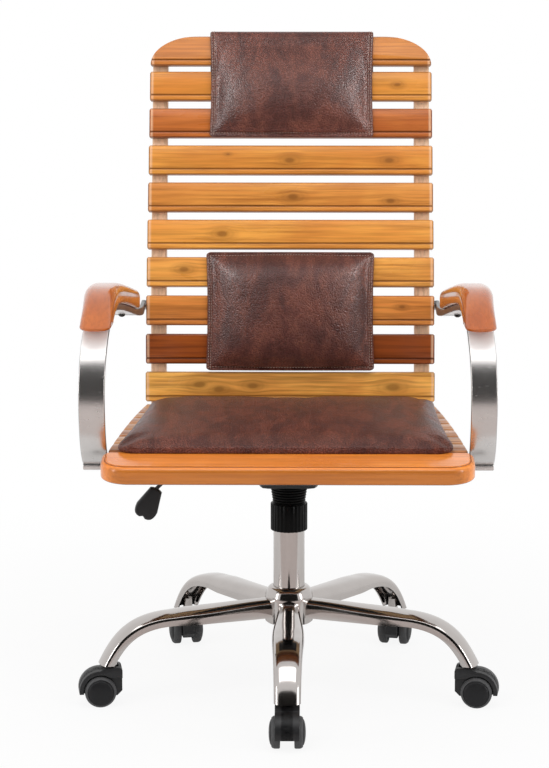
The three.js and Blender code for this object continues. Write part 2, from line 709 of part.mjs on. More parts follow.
function leverPaddleGeometry() {
  const neck = PADDLE_NECK / 2;
  const wide = PADDLE_WIDTH / 2;
  const outline = new THREE.Shape();
  outline.moveTo(neck, 0);
  outline.lineTo(wide, -PADDLE_LENGTH + wide);
  outline.quadraticCurveTo(wide, -PADDLE_LENGTH, neck / 2, -PADDLE_LENGTH);
  outline.lineTo(0, -PADDLE_LENGTH + PADDLE_NOTCH);
  outline.lineTo(-neck / 2, -PADDLE_LENGTH);
  outline.quadraticCurveTo(-wide, -PADDLE_LENGTH, -wide, -PADDLE_LENGTH + wide);
  outline.lineTo(-neck, 0);
  outline.quadraticCurveTo(0, neck / 2, neck, 0);
  const paddle = closed(new THREE.ExtrudeGeometry(outline, {
    depth: PADDLE_THICK - 2 * PADDLE_EASE,
    bevelThickness: PADDLE_EASE,
    bevelSize: PADDLE_EASE,
    bevelOffset: -PADDLE_EASE,
    bevelSegments: 2,
    curveSegments: 5,
  }));
  paddle.translate(0, 0, PADDLE_EASE - PADDLE_THICK / 2);
  const cup = upright(LEVER_R + SEAT_GAP, -PADDLE_CUP, PADDLE_LENGTH, 8);
  cup.rotateX(-Math.PI / 2);
  return cut(paddle, cup);
}

// Seat, curved lengthwise as the top of a large circle

function seatAt(along) {
  const turn = along / SEAT_ARC_R;
  return {
    turn,
    place: new THREE.Vector3(0, SEAT_ARC_R * Math.sin(turn), seatTopZ + SEAT_ARC_R * (Math.cos(turn) - 1)),
    rearward: new THREE.Vector3(0, Math.cos(turn), -Math.sin(turn)),
    out: new THREE.Vector3(0, Math.sin(turn), Math.cos(turn)),
  };
}

const boardMiddle = seatAt(boardRearY - BOARD_DEPTH / 2);

// A slat lies along X, with its face at z = 0 and a milled groove near its -Y edge.
function slatOutline(width, thick) {
  const half = width / 2;
  const groove = GROOVE_UP - half;
  return [
    [-half + WOOD_EASE, -thick],
    [half - WOOD_EASE, -thick],
    [half, WOOD_EASE - thick],
    [half, -WOOD_EASE],
    [half - WOOD_EASE, 0],
    [groove + GROOVE_WIDE / 2, 0],
    [groove, -GROOVE_DEEP],
    [groove - GROOVE_WIDE / 2, 0],
    [-half + WOOD_EASE, 0],
    [-half, -WOOD_EASE],
    [-half, WOOD_EASE - thick],
  ].map(([y, z]) => new THREE.Vector2(y, z));
}

function slatGeometry(halfLength, width, thick, taper = 0) {
  const outline = slatOutline(width, thick);
  const eased = outline.map((point) => new THREE.Vector2(
    point.x * (1 - (2 * WOOD_EASE) / width),
    (point.y + thick / 2) * (1 - (2 * WOOD_EASE) / thick) - thick / 2,
  ));
  const end = (sign, inset, drawn) => ({
    centre: new THREE.Vector3(sign * (halfLength - inset), 0, 0),
    side: new THREE.Vector3(-sign * taper, 1, 0),
    up: Z,
    outline: drawn,
  });
  return loft([
    end(-1, 0, eased),
    end(-1, WOOD_EASE, outline),
    end(1, WOOD_EASE, outline),
    end(1, 0, eased),
  ]);
}

// The front board lies in the plane z = 0 to -thickness, with its middle at the origin.
// The front board's outline, drawn in by a distance.
function boardOutline(inset) {
  const half = SEAT_HALF_FRONT + BOARD_PAST;
  const rear = BOARD_DEPTH / 2;
  const corner = (x, y, radius, from, steps) => arcPoints(
    x - Math.sign(x) * radius, y - Math.sign(y) * radius, radius - inset, from, from + Math.PI / 2, steps,
  );
  return [
    ...corner(half, -rear, BOARD_CORNER_R, -Math.PI / 2, 8),
    ...corner(half, rear, BOARD_REAR_CORNER_R, 0, 4),
    ...corner(-half, rear, BOARD_REAR_CORNER_R, Math.PI / 2, 4),
    ...corner(-half, -rear, BOARD_CORNER_R, Math.PI, 8),
  ];
}

// A board with a rounded foot and face edge; a small step parts the face from its rounded edge.
function frontBoardGeometry() {
  const foot = arcPoints(BOARD_FOOT_ROUND, BOARD_FOOT_ROUND - BOARD_THICK, BOARD_FOOT_ROUND,
    1.5 * Math.PI, Math.PI, 3);
  const edge = arcPoints(BOARD_ROUND, -BOARD_STEP - BOARD_ROUND, BOARD_ROUND, Math.PI, Math.PI / 2, 4);
  const face = new THREE.Vector2(BOARD_ROUND + BOARD_STEP_SLOPE, 0);
  return loft([...foot, ...edge, face].map(({ x: inset, y: height }) => ({
    centre: new THREE.Vector3(0, 0, height),
    side: X,
    up: Y,
    outline: boardOutline(inset),
  })));
}

// The seat rail's side view: slats lie on its curved top, and it steps down under the front board.
function seatRailGeometry(lowX, highX) {
  const drop = SEAT_SLAT_THICK + SEAT_GAP;
  const stepY = boardRearY + SEAT_SLAT_SPACE / 2;
  const steps = 8;
  const rearTop = backFace(0, SEAT_GAP);
  const top = Array.from({ length: steps + 1 }, (_, i) => {
    const { place, out } = seatAt(mix(rearTop.y - OVERRUN, stepY, i / steps));
    const point = place.addScaledVector(out, -drop);
    return [point.y, point.z];
  });
  const underBoard = (y) => {
    const point = boardMiddle.place.clone()
      .addScaledVector(boardMiddle.rearward, y - boardMiddle.place.y)
      .addScaledVector(boardMiddle.out, -BOARD_THICK - SEAT_GAP);
    return [point.y, point.z];
  };
  const nose = underBoard(RAIL_FRONT - BOARD_REACH);
  const lean = Math.tan(BACK_LOWER_LEAN);
  const rearY = (z) => rearTop.y + (z - rearTop.z) * lean;
  const rearTopZ = top[0][1];
  return sideBoard([
    [rearY(railFootZ), railFootZ],
    [rearY(rearTopZ), rearTopZ],
    ...top,
    underBoard(stepY),
    nose,
    [nose[0], nose[1] - RAIL_NOSE],
    [nose[0] + RAIL_TAPER, railFootZ],
  ], lowX, highX, WOOD_EASE / 2);
}

// Back, leaning more above its lower bend

const backFootY = seatRearY + BACK_CLEAR + (BACK_SLAT_THICK + SEAT_GAP) / Math.cos(BACK_LOWER_LEAN);
const backFootZ = seatAt(seatRearY).place.z;

// The face of the back rails at a distance above the seat along the back.
function backAt(along) {
  const bend = BACK_UPPER_LEAN - BACK_LOWER_LEAN;
  const lean = BACK_LOWER_LEAN + THREE.MathUtils.clamp((along - BACK_LOWER_RUN) / BACK_ARC_R, 0, bend);
  const lower = Math.min(along, BACK_LOWER_RUN);
  const upper = Math.max(0, along - BACK_LOWER_RUN - BACK_ARC_R * bend);
  const y = lower * Math.sin(BACK_LOWER_LEAN) + upper * Math.sin(BACK_UPPER_LEAN)
    + BACK_ARC_R * (Math.cos(BACK_LOWER_LEAN) - Math.cos(lean));
  const z = lower * Math.cos(BACK_LOWER_LEAN) + upper * Math.cos(BACK_UPPER_LEAN)
    + BACK_ARC_R * (Math.sin(lean) - Math.sin(BACK_LOWER_LEAN));
  return {
    lean,
    place: new THREE.Vector3(0, backFootY + y, backFootZ + z),
    upward: new THREE.Vector3(0, Math.sin(lean), Math.cos(lean)),
    out: new THREE.Vector3(0, -Math.cos(lean), Math.sin(lean)),
  };
}

function backFace(along, off) {
  const { place, out } = backAt(along);
  return place.addScaledVector(out, off);
}

const backTop = BACK_FIRST + (BACK_SLATS - 2) * BACK_PITCH + BACK_TOP_PITCH;

function backRailGeometry(lowX, highX) {
  const foot = -BACK_RAIL_FOOT;
  const head = backTop - BACK_RAIL_SHORT;
  const bendEnd = BACK_LOWER_RUN + BACK_ARC_R * (BACK_UPPER_LEAN - BACK_LOWER_LEAN);
  const bendSteps = 8;
  const stations = [
    foot,
    ...Array.from({ length: bendSteps + 1 }, (_, i) => mix(BACK_LOWER_RUN, bendEnd, i / bendSteps)),
    head,
  ];
  const face = stations.map((along) => backFace(along, 0));
  const behind = stations.map((along) => backFace(along, -BACK_RAIL_DEPTH)).reverse();
  return sideBoard([...behind, ...face].map((point) => [point.y, point.z]), lowX, highX, WOOD_EASE);
}

// The top slat's upper corners are rounded far down its ends.
function topSlatGeometry(halfLength) {
  const half = BACK_SLAT_WIDTH / 2;
  const outline = new THREE.Shape();
  outline.moveTo(-halfLength - OVERRUN, -half - OVERRUN);
  outline.lineTo(halfLength + OVERRUN, -half - OVERRUN);
  outline.lineTo(halfLength + OVERRUN, half - TOP_CORNER_TALL);
  outline.lineTo(halfLength, half - TOP_CORNER_TALL);
  const inX = halfLength - TOP_CORNER_LONG;
  const inY = half - TOP_CORNER_TALL;
  outline.absellipse(inX, inY, TOP_CORNER_LONG, TOP_CORNER_TALL, 0, Math.PI / 2);
  outline.absellipse(-inX, inY, TOP_CORNER_LONG, TOP_CORNER_TALL, Math.PI / 2, Math.PI);
  outline.lineTo(-halfLength - OVERRUN, half - TOP_CORNER_TALL);
  const keep = new THREE.ExtrudeGeometry(outline, {
    depth: BACK_SLAT_THICK + 2 * OVERRUN,
    bevelEnabled: false,
    curveSegments: 8,
  });
  keep.translate(0, 0, -BACK_SLAT_THICK - OVERRUN);
  return common(slatGeometry(halfLength, BACK_SLAT_WIDTH, BACK_SLAT_THICK), keep);
}

// Arms, drawn on the +X side of the chair

const loopZ = railFootZ + BAND_FOOT_UP + LOOP_R;
const loopTopZ = loopZ + LOOP_R;
const loopOut = SEAT_HALF_FRONT + BAND_CLEAR + BAND_WIDTH / 2;
const loopTopOut = loopOut - LOOP_LEAN;
const loopY = boardRearY + Math.sqrt((LOOP_R + BAND_THICK / 2) ** 2 - (loopZ - seatTopZ) ** 2) - LOOP_LAP;

// A point of the loop, at an angle from its top toward the front, at a distance from its centre.
function loopPoint(angle, radius) {
  const out = mix(loopTopOut, loopOut, Math.sin(Math.min(angle, Math.PI / 2)) ** 1.4);
  return new THREE.Vector3(out, loopY - radius * Math.sin(angle), loopZ + radius * Math.cos(angle));
}

const tabZ = loopTopZ - TAB_FALL;
const tabX = railOuter + TAB_OUT;
const tabBack = (() => {
  const { place, upward } = backAt(tabZ - backFootZ);
  return place.addScaledVector(upward, (tabZ - place.z) / upward.z);
})();
const tabStart = new THREE.Vector3(tabX, tabBack.y - TAB_RUN, tabZ);
const tabEnd = new THREE.Vector3(tabX, tabBack.y + TAB_REACH, tabZ);
const padEnd = new THREE.Vector3(loopTopOut - PAD_END_IN, tabStart.y - TAB_CURVE, loopTopZ - PAD_END_FALL);

const topSteps = 6;
const humpShare = 1 / 12; // of the pad's fall, by which its curve bulges up
const armTopCurve = new THREE.CubicBezierCurve3(
  loopPoint(0, LOOP_R),
  loopPoint(0, LOOP_R).addScaledVector(Y, (padEnd.y - loopY) / 3),
  padEnd.clone().lerp(loopPoint(0, LOOP_R), 1 / 3).addScaledVector(Z, PAD_END_FALL * humpShare),
  padEnd,
);
const armTailCurve = new THREE.CubicBezierCurve3(
  padEnd,
  padEnd.clone().add(padEnd.clone().sub(armTopCurve.v2).multiplyScalar(1 / 3)),
  tabStart.clone().addScaledVector(Y, -TAB_CURVE / 3),
  tabStart,
);

// Stations of a path with its direction, the sideways direction and the one away from the loop's middle.
function stationsOf(points) {
  return points.map((point, i) => {
    const along = points[Math.min(i + 1, points.length - 1)].clone();
    along.sub(points[Math.max(i - 1, 0)]).normalize();
    const side = X.clone().addScaledVector(along, -X.dot(along)).normalize();
    return { centre: point, side, up: side.clone().cross(along) };
  });
}

function armBandPoints() {
  const loopSteps = 16;
  const tailSteps = 6;
  const foot = loopPoint(Math.PI, LOOP_R);
  return {
    foot: [foot.clone().addScaledVector(Y, BAND_FOOT_RUN), foot.clone().addScaledVector(Y, BAND_EASE)],
    loop: Array.from({ length: loopSteps }, (_, i) => loopPoint(Math.PI * (1 - i / loopSteps), LOOP_R)),
    top: armTopCurve.getPoints(topSteps),
    tail: armTailCurve.getPoints(tailSteps).slice(1),
    end: [tabEnd],
  };
}

function armStations() {
  const { foot, loop, top, tail, end } = armBandPoints();
  const all = stationsOf([...foot, ...loop, ...top, ...tail, ...end]);
  const start = foot.length + loop.length;
  return { all, top: all.slice(start, start + top.length), tailCount: tail.length };
}

function armGeometry() {
  const { all, top, tailCount } = armStations();
  const lastFlat = all.indexOf(top.at(-1));
  const sections = all.map((station, i) => {
    const share = smooth(THREE.MathUtils.clamp((i - lastFlat) / tailCount, 0, 1));
    const width = mix(BAND_WIDTH, TAB_THICK, share);
    const thick = mix(BAND_THICK, TAB_TALL, share);
    return { ...station, outline: roundedBox(width, -thick / 2, thick / 2, BAND_EASE, BAND_EASE, 1) };
  });
  const band = loft(sections);
  const footZ = railFootZ + BAND_FOOT_UP;
  const footRearY = loopY + BAND_FOOT_RUN;
  const innerX = railOuter + SEAT_GAP;
  const strip = block(
    innerX + FLANGE_THICK / 2, loopOut,
    footRearY - BAND_WIDTH, footRearY,
    footZ - BAND_THICK / 2, footZ + BAND_THICK / 2,
  );
  const flangeY = footRearY - BAND_WIDTH / 2;
  const flange = block(
    innerX, innerX + FLANGE_THICK,
    flangeY - FLANGE_LENGTH / 2, flangeY + FLANGE_LENGTH / 2,
    footZ - FLANGE_HEIGHT / 2, footZ + FLANGE_HEIGHT / 2,
  );
  const boss = upright(TAB_BOSS_R, innerX, tabX, 16);
  boss.rotateY(Math.PI / 2).translate(0, tabEnd.y - TAB_BOSS_R, tabEnd.z);
  return join(band, strip, flange, boss);
}

function armPadGeometry() {
  const inner = LOOP_R + BAND_THICK / 2 + SEAT_GAP;
  const outer = inner + PAD_THICK;
  const noseUp = LOOP_R - PAD_NOSE_DROP;
  const innerEnd = Math.acos(noseUp / inner);
  const outerEnd = Math.acos(noseUp / outer);
  const steps = 3;
  const drawn = (innerPoint, outerPoint, side, inset = 0) => {
    const up = outerPoint.clone().sub(innerPoint);
    const height = up.length();
    const outline = roundedBox(PAD_WIDTH - 2 * inset, inset, height - inset, PAD_FOOT_R, PAD_TOP_R, steps);
    return { centre: innerPoint, side, up: up.normalize(), outline };
  };
  const noseSteps = 7;
  const nose = Array.from({ length: noseSteps }, (_, i) => {
    const share = i / noseSteps;
    const outerAngle = mix(outerEnd, 0, Math.sqrt(share));
    return drawn(loopPoint(mix(innerEnd, 0, share), inner), loopPoint(outerAngle, outer), X);
  });
  const noseLow = drawn(
    loopPoint(Math.acos((noseUp - PAD_END_EASE) / inner), inner),
    loopPoint(outerEnd, outer).addScaledVector(Z, -PAD_END_EASE),
    X,
    PAD_END_EASE,
  );
  const over = ({ centre, side, up }, shift = 0, inset = 0) => {
    const foot = centre.clone().addScaledVector(up, inner - LOOP_R);
    foot.addScaledVector(side.clone().cross(up), shift);
    return drawn(foot, foot.clone().addScaledVector(up, PAD_THICK), side, inset);
  };
  const { top } = armStations();
  const end = top.at(-1);
  return loft([
    noseLow,
    ...nose,
    ...top.slice(0, -1).map((station) => over(station)),
    over(end, -PAD_END_EASE),
    over(end, 0, PAD_END_EASE),
  ]);
}

// Cushions

// Height of the puffed face over one direction, from 0 at an edge to 1 inside.
const puff = (share) => (1 - Math.abs(share) ** 3) ** 0.6;

function cushionOutline(width, edge, height) {
  const half = width / 2;
  const acrossShares = [0.93, 0.78, 0.5, 0];
  const right = acrossShares.map((share) => [share * half, edge + (height - edge) * puff(share)]);
  const left = right.slice(0, -1).map(([x, y]) => [-x, y]).reverse();
  const tuckShare = 0.985;
  return [
    [-half * tuckShare, 0],
    [half * tuckShare, 0],
    [half, edge / 2],
    [half * tuckShare, edge],
    ...right,
    ...left,
    [-half * tuckShare, edge],
    [-half, edge / 2],
  ].map(([x, y]) => new THREE.Vector2(x, y));
}

// Width left at a place along a cushion, from -1 to 1, with drawn-in sides and rounded corners.
const cushionWidthShare = (share) => 1 - DRAW_SHARE * (1 - share * share) - ROUND_SHARE * share ** 12;

const cushionShares = [-1, -0.97, -0.86, -0.66, -0.4, -0.13, 0.13, 0.4, 0.66, 0.86, 0.97, 1];

function seatCushionGeometry() {
  const { front, rear, from, to, edge, crown } = SEAT_CUSHION;
  const step = (from + to) / (cushionShares.length - 1);
  const clear = SEAT_GAP + (SEAT_SLAT_WIDTH ** 2 + 4 * step ** 2) / (8 * SEAT_ARC_R);
  return loft(cushionShares.map((share) => {
    const { place, out } = seatAt(mix(-from, to, (share + 1) / 2));
    const width = mix(front, rear, (share + 1) / 2) * cushionWidthShare(share);
    return {
      centre: place.addScaledVector(out, clear),
      side: X,
      up: out,
      outline: cushionOutline(width, edge, mix(edge, crown, puff(share))),
    };
  }));
}

function lumbarCushionGeometry() {
  const { width, height, middle, edge, crown } = LUMBAR_CUSHION;
  const step = height / (cushionShares.length - 1);
  const clear = BACK_SLAT_THICK + 2 * SEAT_GAP + (BACK_SLAT_WIDTH ** 2 + 4 * step ** 2) / (8 * BACK_ARC_R);
  return loft(cushionShares.map((share) => {
    const { place, out } = backAt(middle + (share * height) / 2);
    return {
      centre: place.addScaledVector(out, clear),
      side: X,
      up: out,
      outline: cushionOutline(width * cushionWidthShare(share), edge, mix(edge, crown, puff(share))),
    };
  }));
}

// The headrest cushion hangs on the top slat by a flap that folds over it and down behind.
function headCushionGeometry() {
  const { width, height, edge, crown, flap, flapThick } = HEAD_CUSHION;
  const slatTop = backTop + BACK_SLAT_WIDTH / 2;
  const clear = BACK_SLAT_THICK + 2 * SEAT_GAP;
  const pillow = cushionShares.slice(0, -1).map((share) => {
    const { place, out } = backAt(slatTop - height + ((share + 1) / 2) * height);
    return {
      centre: place.addScaledVector(out, clear),
      side: X,
      up: out,
      outline: cushionOutline(width * cushionWidthShare(share), edge, mix(edge, crown, puff(share))),
    };
  });
  const { place: ridge, upward, out } = backAt(slatTop);
  const foldR = (BACK_SLAT_THICK + 2 * SEAT_GAP) / 2 + SEAT_GAP / 2;
  const foldSteps = 6;
  const foldCentre = ridge.addScaledVector(out, (SEAT_GAP + BACK_SLAT_THICK) / 2);
  foldCentre.addScaledVector(upward, SEAT_GAP);
  const foldRise = flapThick / 2;
  const flapOutline = cushionOutline(width * cushionWidthShare(1), flapThick, flapThick);
  const fold = Array.from({ length: foldSteps + 1 }, (_, i) => {
    const angle = (i / foldSteps) * Math.PI;
    const away = out.clone().multiplyScalar(Math.cos(angle)).addScaledVector(upward, Math.sin(angle));
    const centre = foldCentre.clone()
      .addScaledVector(out, foldR * Math.cos(angle))
      .addScaledVector(upward, foldRise * Math.sin(angle));
    return { centre, side: X, up: away, outline: flapOutline };
  });
  const hanging = fold.at(-1);
  const lower = { ...hanging, centre: hanging.centre.clone().addScaledVector(upward, -flap) };
  return loft([...pillow, ...fold, lower]);
}

// Finishes
const finishes = {
  chrome: { color: 0xb9b6b3, metalness: 0.95, roughness: 0.15 },
  blackPlastic: { color: 0x1c1c1e, metalness: 0, roughness: 0.5 },
  blackSteel: { color: 0x141414, metalness: 0.4, roughness: 0.45 },
  tyre: { color: 0x4a4a4c, metalness: 0, roughness: 0.6 },
  zincSteel: { color: 0x9a9a98, metalness: 0.9, roughness: 0.35 },
  rubber: { color: 0x151517, metalness: 0, roughness: 0.7 },
  honeyWood: { color: 0xd08a3c, metalness: 0, roughness: 0.35 },
  redWood: { color: 0xc4672c, metalness: 0, roughness: 0.3 },
  plyWood: { color: 0xb58a58, metalness: 0, roughness: 0.6 },
  leather: { color: 0x4f241c, metalness: 0, roughness: 0.42 },
};

const chair = new THREE.Group();

function add(name, geometry, finish, parent = chair) {
  geometry.computeVertexNormals();
  const material = new THREE.MeshStandardMaterial({ ...finishes[finish], flatShading: true });
  const mesh = new THREE.Mesh(geometry, material);
  mesh.name = name;
  parent.add(mesh);
  return mesh;
}

function addPair(name, geometry, finish) {
  add(`${name}_left`, geometry, finish);
  add(`${name}_right`, mirrored(geometry), finish);
}

// Base with its legs and casters. The first leg points to the front.
const legStep = (2 * Math.PI) / LEG_COUNT;
const sideCasterTurn = THREE.MathUtils.degToRad(10.5); // side casters have swung toward straight out
const rearCasterTurn = THREE.MathUtils.degToRad(12); // rear casters have swung toward straight back
const leg = legGeometry();
const casterHousing = casterHousingGeometry();
const casterStem = casterStemGeometry();
const wheelSet = wheelSetGeometry();
add('hub', hubGeometry(), 'chrome');
for (let i = 0; i < LEG_COUNT; i++) {
  const angle = i * legStep - Math.PI / 2;
  add(`leg_${i + 1}`, leg.clone(), 'chrome').rotation.z = angle;
  const caster = new THREE.Group();
  caster.position.set(SOCKET_AXIS_R * Math.cos(angle), SOCKET_AXIS_R * Math.sin(angle), 0);
  const isRear = Math.sin(angle) > Math.abs(Math.cos(angle));
  const toSide = Math.sign(Math.round(Math.cos(angle) * LEG_COUNT));
  caster.rotation.z = isRear ? Math.PI / 2 - toSide * rearCasterTurn : angle + toSide * sideCasterTurn;
  chair.add(caster);
  add(`caster_housing_${i + 1}`, casterHousing.clone(), 'blackPlastic', caster);
  add(`caster_stem_${i + 1}`, casterStem.clone(), 'zincSteel', caster);
  add(`wheel_set_${i + 1}`, wheelSet.clone(), 'tyre', caster);
}

// Gas column
add('column_tube', columnTubeGeometry(), 'chrome');
add('collar', collarGeometry(), 'blackPlastic');
add('bellows', bellowsGeometry(), 'rubber');
add('gas_rod', gasRodGeometry(), 'zincSteel');
add('gas_cylinder', gasCylinderGeometry(), 'blackSteel');

// Lift plate and lever
add('lift_plate', liftPlateGeometry(), 'blackSteel');
add('lever_rod', leverRodGeometry(), 'blackSteel');
const paddle = add('lever_paddle', leverPaddleGeometry(), 'blackPlastic');
paddle.rotation.set(Math.PI / 2, PADDLE_SLANT, 0, 'ZYX');
paddle.position.copy(leverEnd).addScaledVector(leverDown, SEAT_GAP - PADDLE_CUP);

// Seat
addPair('seat_rail', seatRailGeometry(RAIL_INNER, railOuter), 'honeyWood');
add('mount_board', block(
  SEAT_GAP - RAIL_INNER, RAIL_INNER - SEAT_GAP,
  -MOUNT_BOARD_AHEAD, MOUNT_BOARD_BEHIND,
  railFootZ, railFootZ + MOUNT_BOARD_THICK,
), 'plyWood');
const board = add('front_board', frontBoardGeometry(), 'redWood');
board.position.copy(boardMiddle.place);
board.rotation.x = -boardMiddle.turn;
for (let i = 0; i < SEAT_SLATS; i++) {
  const halfLength = mix(SEAT_HALF_FRONT, SEAT_HALF_REAR, i / (SEAT_SLATS - 1));
  const { place, turn } = seatAt(firstSlatY + i * seatPitch);
  const geometry = slatGeometry(halfLength, SEAT_SLAT_WIDTH, SEAT_SLAT_THICK, seatTaper);
  const slat = add(`seat_slat_${i + 1}`, geometry, 'honeyWood');
  slat.position.copy(place);
  slat.rotation.x = -turn;
}

// Back, with its slats numbered from the seat up
addPair('back_rail', backRailGeometry(RAIL_INNER, railOuter), 'honeyWood');
for (let i = 0; i < BACK_SLATS; i++) {
  const halfLength = mix(BACK_HALF_LOW, BACK_HALF_TOP, i / (BACK_SLATS - 1));
  const isTop = i === BACK_SLATS - 1;
  const { place, lean, out } = backAt(isTop ? backTop : BACK_FIRST + i * BACK_PITCH);
  const geometry = isTop
    ? topSlatGeometry(halfLength)
    : slatGeometry(halfLength, BACK_SLAT_WIDTH, BACK_SLAT_THICK);
  const slat = add(`back_slat_${i + 1}`, geometry, 'honeyWood');
  slat.position.copy(place.addScaledVector(out, BACK_SLAT_THICK + SEAT_GAP));
  slat.rotation.x = Math.PI / 2 - lean;
}

// Arms and cushions
addPair('arm', armGeometry(), 'chrome');
addPair('arm_pad', armPadGeometry(), 'redWood');
add('seat_cushion', seatCushionGeometry(), 'leather');
add('lumbar_cushion', lumbarCushionGeometry(), 'leather');
add('headrest_cushion', headCushionGeometry(), 'leather');

// Stands the chair on the floor plane with its footprint centred on the origin.
chair.updateMatrixWorld(true);
const footprint = new THREE.Box3().setFromObject(chair, true);
const middle = footprint.getCenter(new THREE.Vector3());
chair.position.set(-middle.x, -middle.y, -footprint.min.z);

export default chair;
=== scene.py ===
"""Looks of the bankers swivel chair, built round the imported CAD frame.

Metres, +Z up. The sitter faces -Y, so the sitter's right hand is at -X.
"""

import json
import math
import random

import bmesh
import bpy
from mathutils import Matrix, Vector, noise
from mathutils.bvhtree import BVHTree
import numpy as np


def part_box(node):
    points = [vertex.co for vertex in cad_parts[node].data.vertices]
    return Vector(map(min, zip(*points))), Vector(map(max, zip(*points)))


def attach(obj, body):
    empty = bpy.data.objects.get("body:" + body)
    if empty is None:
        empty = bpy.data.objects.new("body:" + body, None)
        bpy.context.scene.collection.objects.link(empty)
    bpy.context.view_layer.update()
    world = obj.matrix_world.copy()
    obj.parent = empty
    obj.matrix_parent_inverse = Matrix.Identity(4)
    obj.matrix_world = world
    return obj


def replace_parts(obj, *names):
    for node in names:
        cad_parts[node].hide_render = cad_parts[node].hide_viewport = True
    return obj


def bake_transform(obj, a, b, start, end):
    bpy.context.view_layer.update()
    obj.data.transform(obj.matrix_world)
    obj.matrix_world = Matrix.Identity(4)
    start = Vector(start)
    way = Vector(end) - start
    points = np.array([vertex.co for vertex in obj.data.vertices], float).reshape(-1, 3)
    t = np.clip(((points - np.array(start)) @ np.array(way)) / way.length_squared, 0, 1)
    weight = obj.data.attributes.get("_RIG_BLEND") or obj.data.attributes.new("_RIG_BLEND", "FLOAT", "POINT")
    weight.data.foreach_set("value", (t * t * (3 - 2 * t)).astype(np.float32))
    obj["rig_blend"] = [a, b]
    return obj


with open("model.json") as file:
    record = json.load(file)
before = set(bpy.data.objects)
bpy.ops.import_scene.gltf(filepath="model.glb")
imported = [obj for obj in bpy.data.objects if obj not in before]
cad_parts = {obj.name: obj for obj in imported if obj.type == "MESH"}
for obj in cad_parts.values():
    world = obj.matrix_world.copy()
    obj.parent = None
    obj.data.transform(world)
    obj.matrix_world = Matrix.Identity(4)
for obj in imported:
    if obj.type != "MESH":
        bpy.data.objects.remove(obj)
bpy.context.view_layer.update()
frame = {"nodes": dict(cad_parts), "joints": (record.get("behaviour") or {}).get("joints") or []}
nodes = frame["nodes"]
scene = bpy.context.scene
X = Vector((1, 0, 0))
Y = Vector((0, 1, 0))
Z = Vector((0, 0, 1))

hub_low, hub_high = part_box("hub")
COLUMN_Y = ((hub_low + hub_high) / 2).y

# Camera, placed from the column's axis
CAMERA_DISTANCE = 4.6747
CAMERA_HEIGHT = 1.4334
CAMERA_PITCH = 0.197
CAMERA_TURN = math.radians(0.5)
CAMERA_LENS = 140.78  # millimetres
CAMERA_SENSOR = 36  # millimetres
CAMERA_SHIFT = -0.0189

camera = bpy.data.objects.new("camera", bpy.data.cameras.new("camera"))
scene.collection.objects.link(camera)
camera.location = (
    CAMERA_DISTANCE * math.sin(CAMERA_TURN),
    COLUMN_Y - CAMERA_DISTANCE * math.cos(CAMERA_TURN),
    CAMERA_HEIGHT,
)
camera.rotation_euler = (math.pi / 2 - CAMERA_PITCH, 0, CAMERA_TURN)
camera.data.sensor_width = CAMERA_SENSOR
camera.data.lens = CAMERA_LENS
camera.data.shift_x = CAMERA_SHIFT
camera.data.clip_end = 100
scene.camera = camera


def clamp(value, low=0.0, high=1.0):
    return max(low, min(high, value))


def smoothstep(t):
    t = clamp(t)
    return t * t * (3 - 2 * t)


def mix(a, b, t):
    return a + (b - a) * t


def dim(color, gain):
    return tuple(v * gain for v in color)


